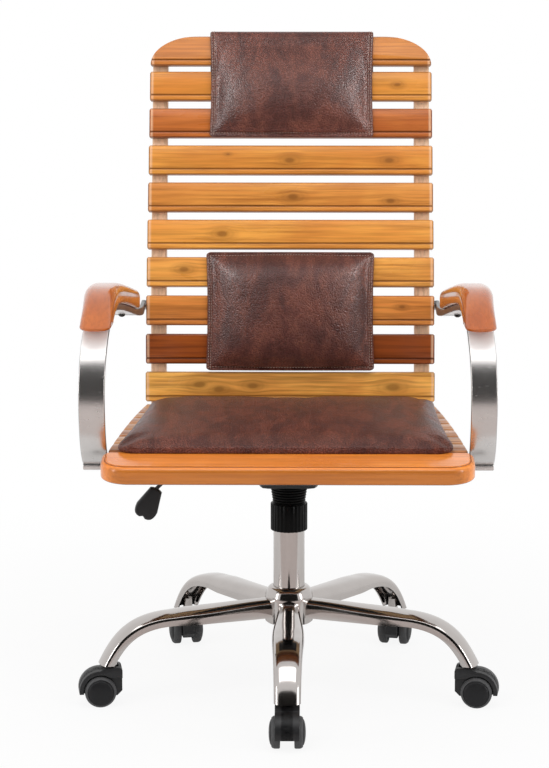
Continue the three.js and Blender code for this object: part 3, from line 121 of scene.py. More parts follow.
# Materials
class Nodes:
    """A node tree, with short ways to add to it. Values are numbers, colours or other nodes' outputs."""

    def __init__(self, tree):
        self.tree = tree

    def node(self, kind, **settings):
        made = self.tree.nodes.new("ShaderNode" + kind)
        for key, value in settings.items():
            setattr(made, key, value)
        return made

    def feed(self, socket, value):
        if isinstance(value, bpy.types.NodeSocket):
            self.tree.links.new(value, socket)
        elif isinstance(value, (tuple, list)) and len(value) == 3 and len(socket.default_value) == 4:
            socket.default_value = (*value, 1)
        else:
            socket.default_value = value

    def math(self, operation, a, b=0.0, clamp=False):
        made = self.node("Math", operation=operation, use_clamp=clamp)
        self.feed(made.inputs[0], a)
        self.feed(made.inputs[1], b)
        return made.outputs[0]

    def times(self, a, b):
        return self.math("MULTIPLY", a, b)

    def plus(self, a, b):
        return self.math("ADD", a, b)

    def larger(self, a, b):
        return self.math("MAXIMUM", a, b)

    def vector(self, operation, a, b=(0, 0, 0)):
        made = self.node("VectorMath", operation=operation)
        self.feed(made.inputs[0], a)
        self.feed(made.inputs[1], b)
        return made.outputs["Value" if operation in ("LENGTH", "DOT_PRODUCT") else "Vector"]

    def parts(self, vector):
        made = self.node("SeparateXYZ")
        self.feed(made.inputs[0], vector)
        return made.outputs

    def placed(self, vector, scale=(1, 1, 1), location=(0, 0, 0)):
        made = self.node("Mapping")
        self.feed(made.inputs["Vector"], vector)
        made.inputs["Scale"].default_value = scale
        made.inputs["Location"].default_value = location
        return made.outputs[0]

    def noise(self, vector, scale, detail=2.0, rough=0.5, distortion=0.0):
        made = self.node("TexNoise")
        self.feed(made.inputs["Vector"], vector)
        made.inputs["Scale"].default_value = scale
        made.inputs["Detail"].default_value = detail
        made.inputs["Roughness"].default_value = rough
        made.inputs["Distortion"].default_value = distortion
        return made.outputs[0]

    def cells(self, vector, scale):
        made = self.node("TexVoronoi")
        self.feed(made.inputs["Vector"], vector)
        made.inputs["Scale"].default_value = scale
        return made.outputs["Distance"]

    def span(self, value, low, high, to_low=0.0, to_high=1.0, kind="LINEAR"):
        made = self.node("MapRange", interpolation_type=kind)
        self.feed(made.inputs["Value"], value)
        for key, number in zip(("From Min", "From Max", "To Min", "To Max"), (low, high, to_low, to_high)):
            made.inputs[key].default_value = number
        return made.outputs["Result"]

    def fade(self, value, low, high, to_low=0.0, to_high=1.0):
        """A span with soft ends."""
        return self.span(value, low, high, to_low, to_high, "SMOOTHSTEP")

    def blend(self, share, a, b):
        made = self.node("Mix", data_type="RGBA")
        self.feed(made.inputs["Factor"], share)
        self.feed(made.inputs[6], a)
        self.feed(made.inputs[7], b)
        return made.outputs[2]

    def ray_kinds(self):
        """Whether a ray comes from the camera, and whether it comes from a mirror or a clear thing."""
        paths = self.node("LightPath").outputs
        return paths["Is Camera Ray"], self.larger(paths["Is Glossy Ray"], paths["Is Transmission Ray"])


class Graph(Nodes):
    """A material's nodes, with a Principled shader at their end."""

    def __init__(self, name):
        self.material = bpy.data.materials.new(name)
        self.material.use_nodes = True
        super().__init__(self.material.node_tree)
        self.shader = self.tree.nodes["Principled BSDF"]
        self.coords = self.node("TexCoord").outputs["Object"]

    def bump(self, height, distance, strength=1.0, target="Normal"):
        made = self.node("Bump")
        made.inputs["Distance"].default_value = distance
        made.inputs["Strength"].default_value = strength
        self.feed(made.inputs["Height"], height)
        self.tree.links.new(made.outputs[0], self.shader.inputs[target])

    def finish(self, color, rough, **others):
        self.feed(self.shader.inputs["Base Color"], color)
        self.feed(self.shader.inputs["Roughness"], rough)
        for key, value in others.items():
            self.feed(self.shader.inputs[key.replace("_", " ")], value)
        return self.material


def knotted(g, knots):
    """Coordinates that part round each knot (x, z, radius), and how far each place belongs to a knot."""
    at, marks = g.coords, None
    for x, z, radius in knots:
        away = g.vector("MULTIPLY", g.vector("SUBTRACT", at, (x, 0, z)), (1, 0, 1))
        far = g.vector("LENGTH", g.vector("MULTIPLY", away, (0.5 / radius, 0, 1 / radius)))
        part = g.node("VectorMath", operation="SCALE")
        g.feed(part.inputs[0], g.vector("MULTIPLY", away, (0, 0, 0.85)))
        g.feed(part.inputs["Scale"], g.math("POWER", math.e, g.times(g.times(far, far), -0.20)))
        at = g.vector("SUBTRACT", at, part.outputs["Vector"])
        ripple = g.span(g.math("SINE", g.times(far, 8.0)), -1, 1, 0.75, 1)
        mark = g.larger(g.fade(far, 0.45, 1.5, 0.95, 0), g.times(g.fade(far, 0.8, 3.4, 0.5, 0), ripple))
        marks = mark if marks is None else g.larger(marks, mark)
    return at, marks


def slat_painted_light(g, half, centre, up):
    """How far a slat gets a painted highlight beside its ends, and painted shade at its edges, its ends and
    its groove.
    """
    reach = g.math("ABSOLUTE", g.parts(g.coords)[0])
    across = g.vector("DOT_PRODUCT", g.vector("SUBTRACT", g.coords, tuple(centre)), tuple(up))
    groove = g.math("ABSOLUTE", g.plus(across, GROOVE_DOWN))
    painted_highlight = g.fade(reach, half - 0.0075, half - 0.0040)
    painted_highlight = g.times(painted_highlight, g.fade(reach, half - 0.0030, half - 0.0018, 1, 0))
    edges = g.larger(g.fade(across, -0.0243, -0.0218, 0.7, 0), g.fade(across, 0.0218, 0.0243, 0, 0.45))
    ends = g.fade(reach, half - 0.0020, half - 0.0008, 0, 0.9)
    lines = g.larger(g.fade(groove, 0.0008, 0.0026, 0.9, 0), ends)
    return painted_highlight, g.larger(edges, lines)


def wood(name, light, dark, seed, grain="x", knots=(), contrast=1.0, rough=0.3, smudge=0.35,
         slat=None, front=0.0, under=0.0, coat=0.2):
    """Lacquered softwood, with its grain along one axis and knots at (x, z, radius).

    slat gives (half length, middle, upward direction) of a slat with a groove near its lower edge, for the
    slat's painted highlight and painted shade; front and under give how much painted shade darkens faces that
    look forward and down.
    """
    g = Graph(name)
    rng = random.Random(seed)
    shift = tuple(rng.uniform(-40, 40) for _ in range(3))
    at, marks = knotted(g, knots)

    def grained(along, across, aside=0):
        scale = tuple(along if axis == grain else across for axis in "xyz")
        return g.placed(at, scale, tuple(v + aside for v in shift))

    figure = g.noise(grained(1.7, 24), 0.75, 2.5, 0.5, 0.5)
    lines = g.span(g.math("SINE", g.times(figure, 46.0)), -1, 1)
    fibres = g.noise(grained(6.8, 216), 1.0, 3, 0.6)
    clouds = g.noise(grained(3.74, 7.5), 1.2, 3, 0.6, 0.8)
    patches = g.noise(grained(0.85, 12, 9), 1.6, 4, 0.62, 1.2)
    color = g.blend(g.fade(clouds, 0.3, 0.72), light, dark)
    color = g.blend(g.span(lines, 0.35, 1, 0, 0.38 * contrast), color, dark)
    color = g.blend(g.span(fibres, 0.42, 0.75, 0, 0.7 * contrast), color, dim(dark, 0.5))
    color = g.blend(g.fade(patches, 0.5, 0.75, 0, smudge), color, dim(dark, 0.5))
    if knots:
        color = g.blend(g.times(marks, 0.8), color, dim(dark, 0.32))
    if slat:
        # painted light: a pale painted highlight beside each end, and painted shade at the edges, ends and
        # groove
        painted_highlight, wear_and_shade = slat_painted_light(g, *slat)
        color = g.blend(g.times(painted_highlight, 0.55), color, (0.86, 0.56, 0.36))
        color = g.blend(g.times(wear_and_shade, g.span(fibres, 0.3, 0.7, 0.75, 1)), color, dim(dark, 0.30))
    # painted shade: darker on faces that look forward and on faces that look down
    if front or under:
        facing = g.parts(g.node("TexCoord").outputs["Normal"])
        painted_facing_shade = g.larger(g.fade(facing[1], -0.5, -0.97, 0, front), g.fade(facing[2], -0.3, -0.8, 0, under))
        color = g.blend(painted_facing_shade, color, dim(dark, 0.18))
    g.bump(g.plus(fibres, g.times(lines, 0.4)), 0.00014, 0.55)
    roughness = g.span(clouds, 0.3, 0.7, rough - 0.05, rough + 0.09)
    return g.finish(color, roughness, Coat_Weight=coat, Coat_Roughness=0.12, Specular_IOR_Level=0.3)


def leather(name):
    """Glazed hide with a pebbled grain and clouded colour."""
    g = Graph(name)
    clouds = g.noise(g.placed(g.coords, (30, 13, 15)), 1, 4, 0.62, 0.6)
    fleck = g.noise(g.placed(g.coords, (1, 1, 1), (3, 7, 1)), 34, 3, 0.62, 0.5)
    bent = g.placed(g.noise(g.coords, 60), (0.003, 0.003, 0.003))
    valley = g.fade(g.cells(g.vector("ADD", g.coords, bent), 430), 0.35, 0.75)
    creases = g.noise(g.coords, 150, 3, 0.7, 1.0)
    fine = g.noise(g.coords, 1100, 2, 0.6)
    color = g.blend(g.fade(clouds, 0.36, 0.64), (0.112, 0.033, 0.025), (0.240, 0.073, 0.048))
    color = g.blend(g.fade(fleck, 0.45, 0.72, 0, 0.4), color, (0.062, 0.019, 0.015))
    color = g.blend(g.times(valley, 0.45), color, (0.034, 0.011, 0.008))
    height = g.math("SUBTRACT", g.plus(g.times(creases, 1.5), g.times(fine, 0.3)), valley)
    g.bump(height, 0.0020)
    g.bump(height, 0.00022, target="Coat Normal")
    roughness = g.span(clouds, 0.3, 0.7, 0.34, 0.44)
    return g.finish(color, roughness, Coat_Weight=0.40, Coat_Roughness=0.26, Specular_IOR_Level=0.08)


def chrome(name, base=(0.50, 0.468, 0.450), rough=0.10, spots=0.03, metallic=1.0, highlight_band=None):
    """Plating. A band between two heights, when given, turns pale and less metallic: a painted highlight."""
    g = Graph(name)
    haze = g.noise(g.coords, 26, 4, 0.6, 0.3)
    scuffs = g.noise(g.placed(g.coords, (60, 60, 500)), 1, 3, 0.6)
    color = g.blend(g.fade(haze, 0.35, 0.75, 0, 0.35), base, dim(base, 0.86))
    roughness = g.plus(g.span(haze, 0.4, 0.8, rough, rough + spots), g.span(scuffs, 0.62, 0.8, 0, spots))
    g.bump(g.plus(haze, g.times(scuffs, 0.3)), 0.00006, 0.35)
    # painted highlight: a pale, less metallic band between two heights
    if highlight_band:
        painted_highlight = g.fade(g.parts(g.coords)[2], *highlight_band, 0, 0.9)
        color = g.blend(painted_highlight, color, (0.92, 0.91, 0.90))
        metallic = g.math("SUBTRACT", metallic, painted_highlight, clamp=True)
    return g.finish(color, roughness, Metallic=metallic)


def plastic(name, base, wear_and_shade, rough=0.42, grain=1400, shine=0.4):
    g = Graph(name)
    dust = g.noise(g.coords, 70, 4, 0.6, 0.5)
    color = g.blend(g.fade(dust, 0.5, 0.8, 0, 0.35), base, wear_and_shade)
    g.bump(g.noise(g.coords, grain, 2, 0.6), 0.00005, 0.6)
    return g.finish(color, g.span(dust, 0.35, 0.7, rough - 0.05, rough + 0.1), Specular_IOR_Level=shine)


def metal(name, base, rough, metallic=1.0):
    g = Graph(name)
    haze = g.noise(g.coords, 90, 4, 0.6, 0.3)
    color = g.blend(g.fade(haze, 0.4, 0.75, 0, 0.5), base, dim(base, 0.7))
    g.bump(haze, 0.00005, 0.5)
    return g.finish(color, g.span(haze, 0.35, 0.7, rough - 0.04, rough + 0.08), Metallic=metallic)


def plywood(name, ply=0.003):
    g = Graph(name)
    layers = g.math("SINE", g.times(g.parts(g.coords)[2], 2 * math.pi / ply))
    fibres = g.noise(g.placed(g.coords, (2.5, 70, 70)), 1, 4, 0.6)
    color = g.blend(g.span(fibres, 0.3, 0.75), (0.53, 0.36, 0.20), (0.38, 0.23, 0.11))
    color = g.blend(g.span(layers, 0.2, 0.8, 0, 0.35), color, (0.20, 0.11, 0.05))
    g.bump(fibres, 0.0002, 0.5)
    return g.finish(color, 0.6)


def thread(name):
    g = Graph(name)
    twist = g.math("SINE", g.vector("DOT_PRODUCT", g.coords, (3800, 2600, 5200)))
    color = g.blend(g.span(twist, -1, 1), (0.27, 0.165, 0.13), (0.50, 0.36, 0.30))
    g.bump(twist, 0.00008, 0.6)
    return g.finish(color, 0.6)


# Tones, light and dark, and the materials made from them
GOLD = ((0.78, 0.330, 0.058), (0.65, 0.225, 0.034))
HONEY = ((0.76, 0.320, 0.062), (0.62, 0.212, 0.036))
ORANGE = ((0.67, 0.255, 0.048), (0.54, 0.172, 0.030))
REDDISH = ((0.56, 0.168, 0.034), (0.42, 0.102, 0.018))
PALE = ((0.82, 0.47, 0.25), (0.52, 0.22, 0.085))
BROWN = ((0.70, 0.34, 0.15), (0.36, 0.12, 0.045))
DARK = ((0.38, 0.088, 0.012), (0.25, 0.050, 0.007))
TAWNY = ((0.84, 0.385, 0.080), (0.66, 0.250, 0.048))

chrome_base = chrome("chrome_base")
# its band between the heights 0.576 and 0.590 is a painted highlight
chrome_arm = chrome("chrome_arm", (0.64, 0.615, 0.60), 0.24, 0.05, 0.96, (0.576, 0.590))
# painted shade: a dark chrome for the arms' band edges, the tab behind the pad and the top of the foot's
# strip
chrome_shade = chrome("chrome_shade", (0.15, 0.15, 0.15), 0.3, 0.05, 0.45)
black_plastic = plastic("black_plastic", (0.012, 0.012, 0.013), (0.03, 0.03, 0.03), 0.4)
collar_plastic = plastic("collar_plastic", (0.004, 0.004, 0.004), (0.007, 0.007, 0.007), 0.34, shine=0.08)
cap_plastic = plastic("cap_plastic", (0.011, 0.011, 0.012), (0.022, 0.022, 0.022), shine=0.25)
tyre_rubber = plastic("tyre_rubber", (0.060, 0.060, 0.062), (0.12, 0.12, 0.12), 0.55, 900)
bellows_rubber = plastic("bellows_rubber", (0.004, 0.004, 0.004), (0.010, 0.010, 0.010), 0.5, shine=0.15)
black_steel = metal("black_steel", (0.016, 0.016, 0.017), 0.42, 0.3)
zinc_steel = metal("zinc_steel", (0.55, 0.55, 0.54), 0.3)
dark_bolt = metal("dark_bolt", (0.045, 0.043, 0.042), 0.32, 0.9)
ply_wood = plywood("ply_wood")
hide = leather("leather")
sewing_thread = thread("sewing_thread")
board_wood = wood("board_wood", (0.99, 0.325, 0.050), (0.82, 0.235, 0.034), 5, contrast=0.7, rough=0.22,
                  smudge=0.1, front=0.54, under=0.9, coat=0.4)
# painted shade: a darker wood for the routed groove
board_groove_shade = wood("board_groove_shade", (0.50, 0.145, 0.027), (0.36, 0.095, 0.017), 6, contrast=0.5, smudge=0.1)
pad_wood = wood("pad_wood", (0.54, 0.134, 0.016), (0.43, 0.090, 0.010), 8, "y", contrast=0.5, rough=0.22,
                smudge=0.2, coat=0.9)
rail_wood = wood("rail_wood", (0.97, 0.68, 0.46), (0.80, 0.50, 0.31), 13, "z", contrast=0.9, rough=0.4,
                 smudge=0.3)
seat_rail_wood = wood("seat_rail_wood", (0.56, 0.260, 0.090), (0.42, 0.160, 0.050), 14, "y", contrast=0.9,
                      rough=0.4, smudge=0.3, under=0.8)


# Meshes
def thing(name, verts, faces, materials, kinds=()):
    """An object with smooth faces; kinds tells which of the materials each face has."""
    mesh = bpy.data.meshes.new(name)
    mesh.from_pydata([tuple(v) for v in verts], [], faces)
    mesh.validate()
    mesh.update()
    mesh.shade_smooth()
    for material in materials if isinstance(materials, list) else [materials]:
        mesh.materials.append(material)
    for polygon, kind in zip(mesh.polygons, kinds):
        polygon.material_index = kind
    made = bpy.data.objects.new(name, mesh)
    scene.collection.objects.link(made)
    return made


def piece(name, verts, faces, materials, body, slot, kinds=()):
    made = thing(name, verts, faces, materials, kinds)
    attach(made, body)
    return made


def outward(made):
    """Turns all faces of a closed mesh outward."""
    shape = bmesh.new()
    shape.from_mesh(made.data)
    bmesh.ops.recalc_face_normals(shape, faces=shape.faces)
    shape.to_mesh(made.data)
    shape.free()
    return made


def sharpen(made, degrees=32):
    """Marks the edges between faces that turn by more than an angle as sharp."""
    made.data.set_sharp_from_angle(angle=math.radians(degrees))
    return made


def loft(sections):
    """Vertices and faces of a closed solid through sections with equal counts of points."""
    count = len(sections[0])
    verts = [point for section in sections for point in section]
    faces = [tuple(reversed(range(count)))]
    for row in range(len(sections) - 1):
        for i in range(count):
            a = row * count + i
            b = row * count + (i + 1) % count
            faces.append((a, b, b + count, a + count))
    last = (len(sections) - 1) * count
    faces.append(tuple(range(last, last + count)))
    return verts, faces


def joined(*meshes):
    verts, faces = [], []
    for more, more_faces in meshes:
        start = len(verts)
        verts = verts + list(more)
        faces = faces + [tuple(start + k for k in face) for face in more_faces]
    return verts, faces


def lathe(profile, sides, place=Matrix.Identity(4)):
    """A solid turned about Z from (radius, height) pairs that run from axis to axis, or close on themselves.

    It gives the vertices, the faces and each face's place in the profile.
    """
    verts, faces, rings, owners = [], [], [], []
    for radius, height in profile:
        count = sides if radius > 0 else 1
        start = len(verts)
        for i in range(count):
            turn = 2 * math.pi * i / sides
            verts.append(place @ Vector((radius * math.cos(turn), radius * math.sin(turn), height)))
        rings.append([start + i % count for i in range(sides)])
    bands = list(zip(rings, rings[1:]))
    if profile[0][0] > 0:
        bands.append((rings[-1], rings[0]))
    for row, (low, high) in enumerate(bands):
        for i in range(sides):
            k = (i + 1) % sides
            faces.append(tuple(dict.fromkeys((low[i], low[k], high[k], high[i]))))
            owners.append(row)
    return verts, faces, owners


def rounded_box(width, low, high, low_r, high_r, steps):
    """Corner points (side, up) of a rectangle whose lower and upper corners are rounded."""
    half = width / 2
    corners = [
        (half - low_r, low + low_r, low_r, -90),
        (half - high_r, high - high_r, high_r, 0),
        (high_r - half, high - high_r, high_r, 90),
        (low_r - half, low + low_r, low_r, 180),
    ]
    points = []
    for x, y, radius, start in corners:
        for i in range(steps + 1 if radius > 0 else 1):
            turn = math.radians(start + 90 * i / max(steps, 1))
            points.append((x + radius * math.cos(turn), y + radius * math.sin(turn)))
    return points


def drawn(centre, side, up, outline):
    """An outline of (side, up) pairs, set in space."""
    return [centre + side * x + up * y for x, y in outline]


def stations(points):
    """Each point with its sideways and upward directions."""
    made = []
    for i, point in enumerate(points):
        along = (points[min(i + 1, len(points) - 1)] - points[max(i - 1, 0)]).normalized()
        side = (X - along * X.dot(along)).normalized()
        made.append((point, side, side.cross(along)))
    return made


def pointed(place, direction):
    """A turn that takes Z to a direction, then a move to a place."""
    return Matrix.Translation(place) @ direction.to_track_quat("Z", "Y").to_matrix().to_4x4()


def bezier(a, b, c, d, steps):
    points = []
    for i in range(steps + 1):
        t = i / steps
        points.append(a * (1 - t) ** 3 + b * 3 * t * (1 - t) ** 2 + c * 3 * t * t * (1 - t) + d * t ** 3)
    return points


# Lines of the seat and the back
SEAT_ARC = 3.233
SEAT_TOP = 0.433
SEAT_SLAT_FROM = -0.14375  # middle of the first seat slat behind the column
SEAT_SLAT_PITCH = 0.046


def seat_at(along):
    """A point of the seat's face at a distance behind the column, and the face's normal."""
    turn = along / SEAT_ARC
    place = Vector((0, COLUMN_Y + SEAT_ARC * math.sin(turn), SEAT_TOP + SEAT_ARC * (math.cos(turn) - 1)))
    return place, Vector((0, math.sin(turn), math.cos(turn)))


BACK_LOW_LEAN = math.radians(5.5)
BACK_HIGH_LEAN = math.radians(18.8)
BACK_LOWER_RUN = 0.074
BACK_ARC = 0.700
BACK_FOOT_ALONG = 0.198
BACK_FOOT_GAP = 0.004  # from the last seat slat to the first back slat
FIRST_SLAT = 0.026  # middles of the slats above the seat
SLAT_PITCH = 0.0628
TOP_SLAT = 0.5884
TOP_SLAT_TALL = 0.0493
BACK_SLATS = 10
SLAT_DEPTH = 0.0153
SLAT_FACE = SLAT_DEPTH + 0.0003  # from the rails' faces to the slats' faces
GROOVE_DOWN = 0.01525  # of the slats' groove below their middle
BACK_TOP = TOP_SLAT + TOP_SLAT_TALL / 2


def back_at(along):
    """A point of the back rails' face at a distance above the seat, its upward direction and its normal."""
    seat_end, _ = seat_at(BACK_FOOT_ALONG)
    foot_y = COLUMN_Y + BACK_FOOT_ALONG + BACK_FOOT_GAP + SLAT_DEPTH / math.cos(BACK_LOW_LEAN)
    bend = BACK_HIGH_LEAN - BACK_LOW_LEAN
    lean = BACK_LOW_LEAN + clamp((along - BACK_LOWER_RUN) / BACK_ARC, 0.0, bend)
    lower = min(along, BACK_LOWER_RUN)
    upper = max(0.0, along - BACK_LOWER_RUN - BACK_ARC * bend)
    y = lower * math.sin(BACK_LOW_LEAN) + upper * math.sin(BACK_HIGH_LEAN)
    y += BACK_ARC * (math.cos(BACK_LOW_LEAN) - math.cos(lean))
    z = lower * math.cos(BACK_LOW_LEAN) + upper * math.cos(BACK_HIGH_LEAN)
    z += BACK_ARC * (math.sin(lean) - math.sin(BACK_LOW_LEAN))
    up = Vector((0, math.sin(lean), math.cos(lean)))
    return Vector((0, foot_y + y, seat_end.z + z)), up, Vector((0, -math.cos(lean), math.sin(lean)))


def slat_middle(i):
    return TOP_SLAT if i == BACK_SLATS else FIRST_SLAT + SLAT_PITCH * (i - 1)


# CAD nodes that stay
def dress(node, material, bevel=0.0):
    """Gives a CAD node its material, smooth faces and slightly softened edges."""
    made = nodes[node]
    made.data.materials.clear()
    made.data.materials.append(material)
    made.data.shade_smooth()
    attributes = made.data.attributes
    if "custom_normal" in attributes:
        attributes.remove(attributes["custom_normal"])
    made.modifiers.new("weld", "WELD").merge_threshold = 0.00001
    if bevel:
        soft = made.modifiers.new("soft_edges", "BEVEL")
        soft.width = bevel
        soft.segments = 2
        soft.limit_method = "ANGLE"
        soft.angle_limit = math.radians(20)
        soft.use_clamp_overlap = True
    split = made.modifiers.new("edges", "EDGE_SPLIT")
    split.split_angle = math.radians(32)


for node, material, bevel in (
    ("hub", chrome_base, 0.0),
    ("column_tube", chrome_base, 0.0),
    ("collar", collar_plastic, 0.0003),
    ("gas_rod", zinc_steel, 0.0),
    ("gas_cylinder", black_steel, 0.0),
    ("lift_plate", black_steel, 0.0008),
    ("lever_rod", black_steel, 0.0),
    ("lever_paddle", black_plastic, 0.0006),
    ("mount_board", ply_wood, 0.001),
    ("seat_rail_left", seat_rail_wood, 0.001),
    ("seat_rail_right", seat_rail_wood, 0.001),
    ("back_rail_left", rail_wood, 0.0008),
    ("back_rail_right", rail_wood, 0.0008),
):
    dress(node, material, bevel)
for i in range(1, 6):
    dress(f"caster_stem_{i}", zinc_steel)

# Back slats from the seat up: tones, knots (x, distance above the slat's middle, radius), contrast, smudges
BACK_WOODS = {
    1: (TAWNY, [(-0.150, 0.004, 0.006), (-0.118, -0.003, 0.005), (-0.062, 0.002, 0.005), (0.170, 0.0, 0.007)],
        1.5, 0.7),
    2: (DARK, [], 1.3, 0.5),
    3: (ORANGE, [(0.185, 0.006, 0.003)], 1.2, 0.6),
    4: (HONEY, [(-0.176, 0.004, 0.0045)], 1.2, 0.6),
    5: (GOLD, [(-0.113, 0.0, 0.0052)], 1.0, 0.5),
    6: (HONEY, [(0.004, 0.0, 0.0050), (0.166, -0.007, 0.0040)], 1.1, 0.35),
    7: (GOLD, [(-0.0016, -0.001, 0.0048), (0.164, -0.001, 0.0044), (-0.104, 0.009, 0.0018)], 1.0, 0.3),
    8: (REDDISH, [], 1.0, 0.4),
    9: (GOLD, [(0.178, 0.002, 0.0030)], 1.0, 0.35),
    10: (ORANGE, [], 0.9, 0.35),
}

# Painted light: the lower slats' tones are raised to make up for the lumbar cushion's shade on them
LOWER_SLAT_LIGHT = {
    1: (1.19, 1.36, 1.45),
    3: (1.18, 1.18, 1.30),
    4: (1.14, 1.24, 1.32),
    5: (1.09, 1.14, 1.22),
    6: (0.98, 0.98, 1.00),
}
for i, (tones, marks, contrast, smudge) in BACK_WOODS.items():
    point, up, normal = back_at(slat_middle(i))
    centre = point + normal * SLAT_FACE
    knots = [(x, centre.z + rise * up.z, radius) for x, rise, radius in marks]
    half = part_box(f"back_slat_{i}")[1].x
    gain = LOWER_SLAT_LIGHT.get(i, (1, 1, 1))
    tones = [tuple(min(1.0, v * k) for v, k in zip(tone, gain)) for tone in tones]
    made = wood(f"back_wood_{i}", *tones, 20 + i, "x", knots, contrast, 0.3, smudge, (half, centre, up))
    dress(f"back_slat_{i}", made, 0.0006)
for i in range(1, 9):
    made = wood(f"seat_wood_{i}", *(BROWN if i % 2 else PALE), 60 + i, contrast=1.3, rough=0.32, smudge=0.5,
                under=0.8)
    dress(f"seat_slat_{i}", made, 0.0006)

# Front board
BOARD_HALF = 0.2855
BOARD_DEPTH = 0.088
BOARD_ALONG = -0.214  # its middle behind the column
BOARD_CORNER = 0.045
BOARD_REAR_CORNER = 0.012


def board_outline(inset):
    """The board's outline from above, drawn in by a distance that leaves its corners round."""
    rows = []
    half, rear = BOARD_HALF, BOARD_DEPTH / 2
    for x, y, radius, start, steps in (
        (half, -rear, BOARD_CORNER, -90, 14),
        (half, rear, BOARD_REAR_CORNER, 0, 6),
        (-half, rear, BOARD_REAR_CORNER, 90, 6),
        (-half, -rear, BOARD_CORNER, 180, 14),
    ):
        cx = x - math.copysign(radius, x)
        cy = y - math.copysign(radius, y)
        for i in range(steps + 1):
            turn = math.radians(start + 90 * i / steps)
            reach = max(radius - inset, 0.0005)
            rows.append((cx + reach * math.cos(turn), cy + reach * math.sin(turn)))
    return rows


place, out = seat_at(BOARD_ALONG)
rearward = Vector((0, out.z, -out.y))
# Inset and height from the board's underside to its face; the routed line is in bands 10 to 12, whose darker
# wood is painted shade in the groove
BOARD_PROFILE = (
    (0.0040, -0.0285), (0.0025, -0.0282), (0.0012, -0.0273), (0.0003, -0.0260), (0.0, -0.0245),
    (0.0, -0.0088), (0.0003, -0.0068), (0.0010, -0.0052), (0.0022, -0.0037), (0.0038, -0.0026),
    (0.0054, -0.0019), (0.0068, -0.0016), (0.0071, -0.0018), (0.0073, -0.0014), (0.0074, -0.0004),
    (0.0079, 0.0),
)
verts, faces = loft([drawn(place + out * z, X, rearward, board_outline(inset)) for inset, z in BOARD_PROFILE])
count = len(board_outline(0))
kinds = [1 if 10 <= (i - 1) // count <= 12 else 0 for i in range(len(faces))]
board = piece("front_board_moulded", verts, faces, [board_wood, board_groove_shade], "seat", "red_wood", kinds)
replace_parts(sharpen(board), "front_board")

# Legs
AXLE_Z = 0.025
LEG_TIP_Z = 0.067
LEG_HUB_Z = 0.138
LEG_DIP = 0.003
LEG_BEND_R = 0.196
TIP_R = 0.305
TIP_SLOPE = math.radians(62)
HUB_R = 0.0385
LEG_WALL = 0.0025
LEG_STEPS = 18, 30  # of the level stretch and the bend
STEM_R = 0.2955  # of the stems' circle
SOCKET_R, SOCKET_TOP = 0.0055, 0.0823
BOSS_R, BOSS_TOP = 0.008, 0.084
LEG_WIDTHS = (0.036, 0.050, 0.049, 0.041)  # at the hub, the middle, the bend and the tip
LEG_HEIGHTS = (0.029, 0.023, 0.019, 0.017)


def along_leg(sizes, radius):
    """A size at a distance from the column, from its values at four places."""
    half_way = (HUB_R + TIP_R) / 2
    if radius < half_way:
        return mix(sizes[0], sizes[1], smoothstep((radius - HUB_R) / (half_way - HUB_R)))
    if radius < LEG_BEND_R:
        return mix(sizes[1], sizes[2], (radius - half_way) / (LEG_BEND_R - half_way))
    return mix(sizes[2], sizes[3], min(1, (radius - LEG_BEND_R) / (TIP_R - LEG_BEND_R)))


def leg_line():
    start = Vector((HUB_R - 0.006, 0, LEG_HUB_Z))
    bend = Vector((LEG_BEND_R, 0, LEG_HUB_Z - LEG_DIP))
    tip = Vector((TIP_R, 0, LEG_TIP_Z))
    along = (bend - start).normalized()
    down = Vector((math.cos(TIP_SLOPE), 0, -math.sin(TIP_SLOPE)))
    span = (tip - bend).length
    run = [start.lerp(bend, i / LEG_STEPS[0]) for i in range(LEG_STEPS[0])]
    curve = bezier(bend, bend + along * span * 0.5, tip - down * span * 0.36, tip, LEG_STEPS[1])
    return run + curve + [tip + down * 0.012]


def arch(width, foot, top, height, steps=20):
    """An arch with upright sides and a full, rounded crown."""
    points = []
    for i in range(steps + 1):
        turn = math.pi * i / steps
        across = math.copysign(abs(math.cos(turn)) ** 0.75, math.cos(turn))
        points.append((width / 2 * across, top - height * (1 - math.sin(turn) ** 0.75)))
    return [(width / 2, foot), *points, (-width / 2, foot)]


def leg_mesh():
    line = leg_line()
    sections = []
    for i, point in enumerate(line):
        along = (line[min(i + 1, len(line) - 1)] - line[max(i - 1, 0)]).normalized()
        up = Vector((-along.z, 0, along.x))
        width = along_leg(LEG_WIDTHS, point.x)
        height = along_leg(LEG_HEIGHTS, point.x)
        outer = arch(width, -height / 2, height / 2, height * 0.6)
        inner = arch(width - 2 * LEG_WALL, -height / 2, height / 2 - LEG_WALL, height * 0.6)
        sections.append(drawn(point, Y, up, outer + inner[::-1]))
    verts, faces = loft(sections)
    shape = bmesh.new()
    made = [shape.verts.new(v) for v in verts]
    for face in faces:
        shape.faces.new([made[i] for i in face])
    cut = bmesh.ops.bisect_plane(
        shape,
        geom=shape.verts[:] + shape.edges[:] + shape.faces[:],
        plane_co=Z * LEG_TIP_Z,
        plane_no=Z,
        clear_inner=True,
    )
    rim = [e for e in cut["geom_cut"] if isinstance(e, bmesh.types.BMEdge)]
    bmesh.ops.contextual_create(shape, geom=rim)
    bmesh.ops.recalc_face_normals(shape, faces=shape.faces)
    shape.verts.index_update()
    result = [v.co.copy() for v in shape.verts], [tuple(v.index for v in f.verts) for f in shape.faces]
    shape.free()
    return result


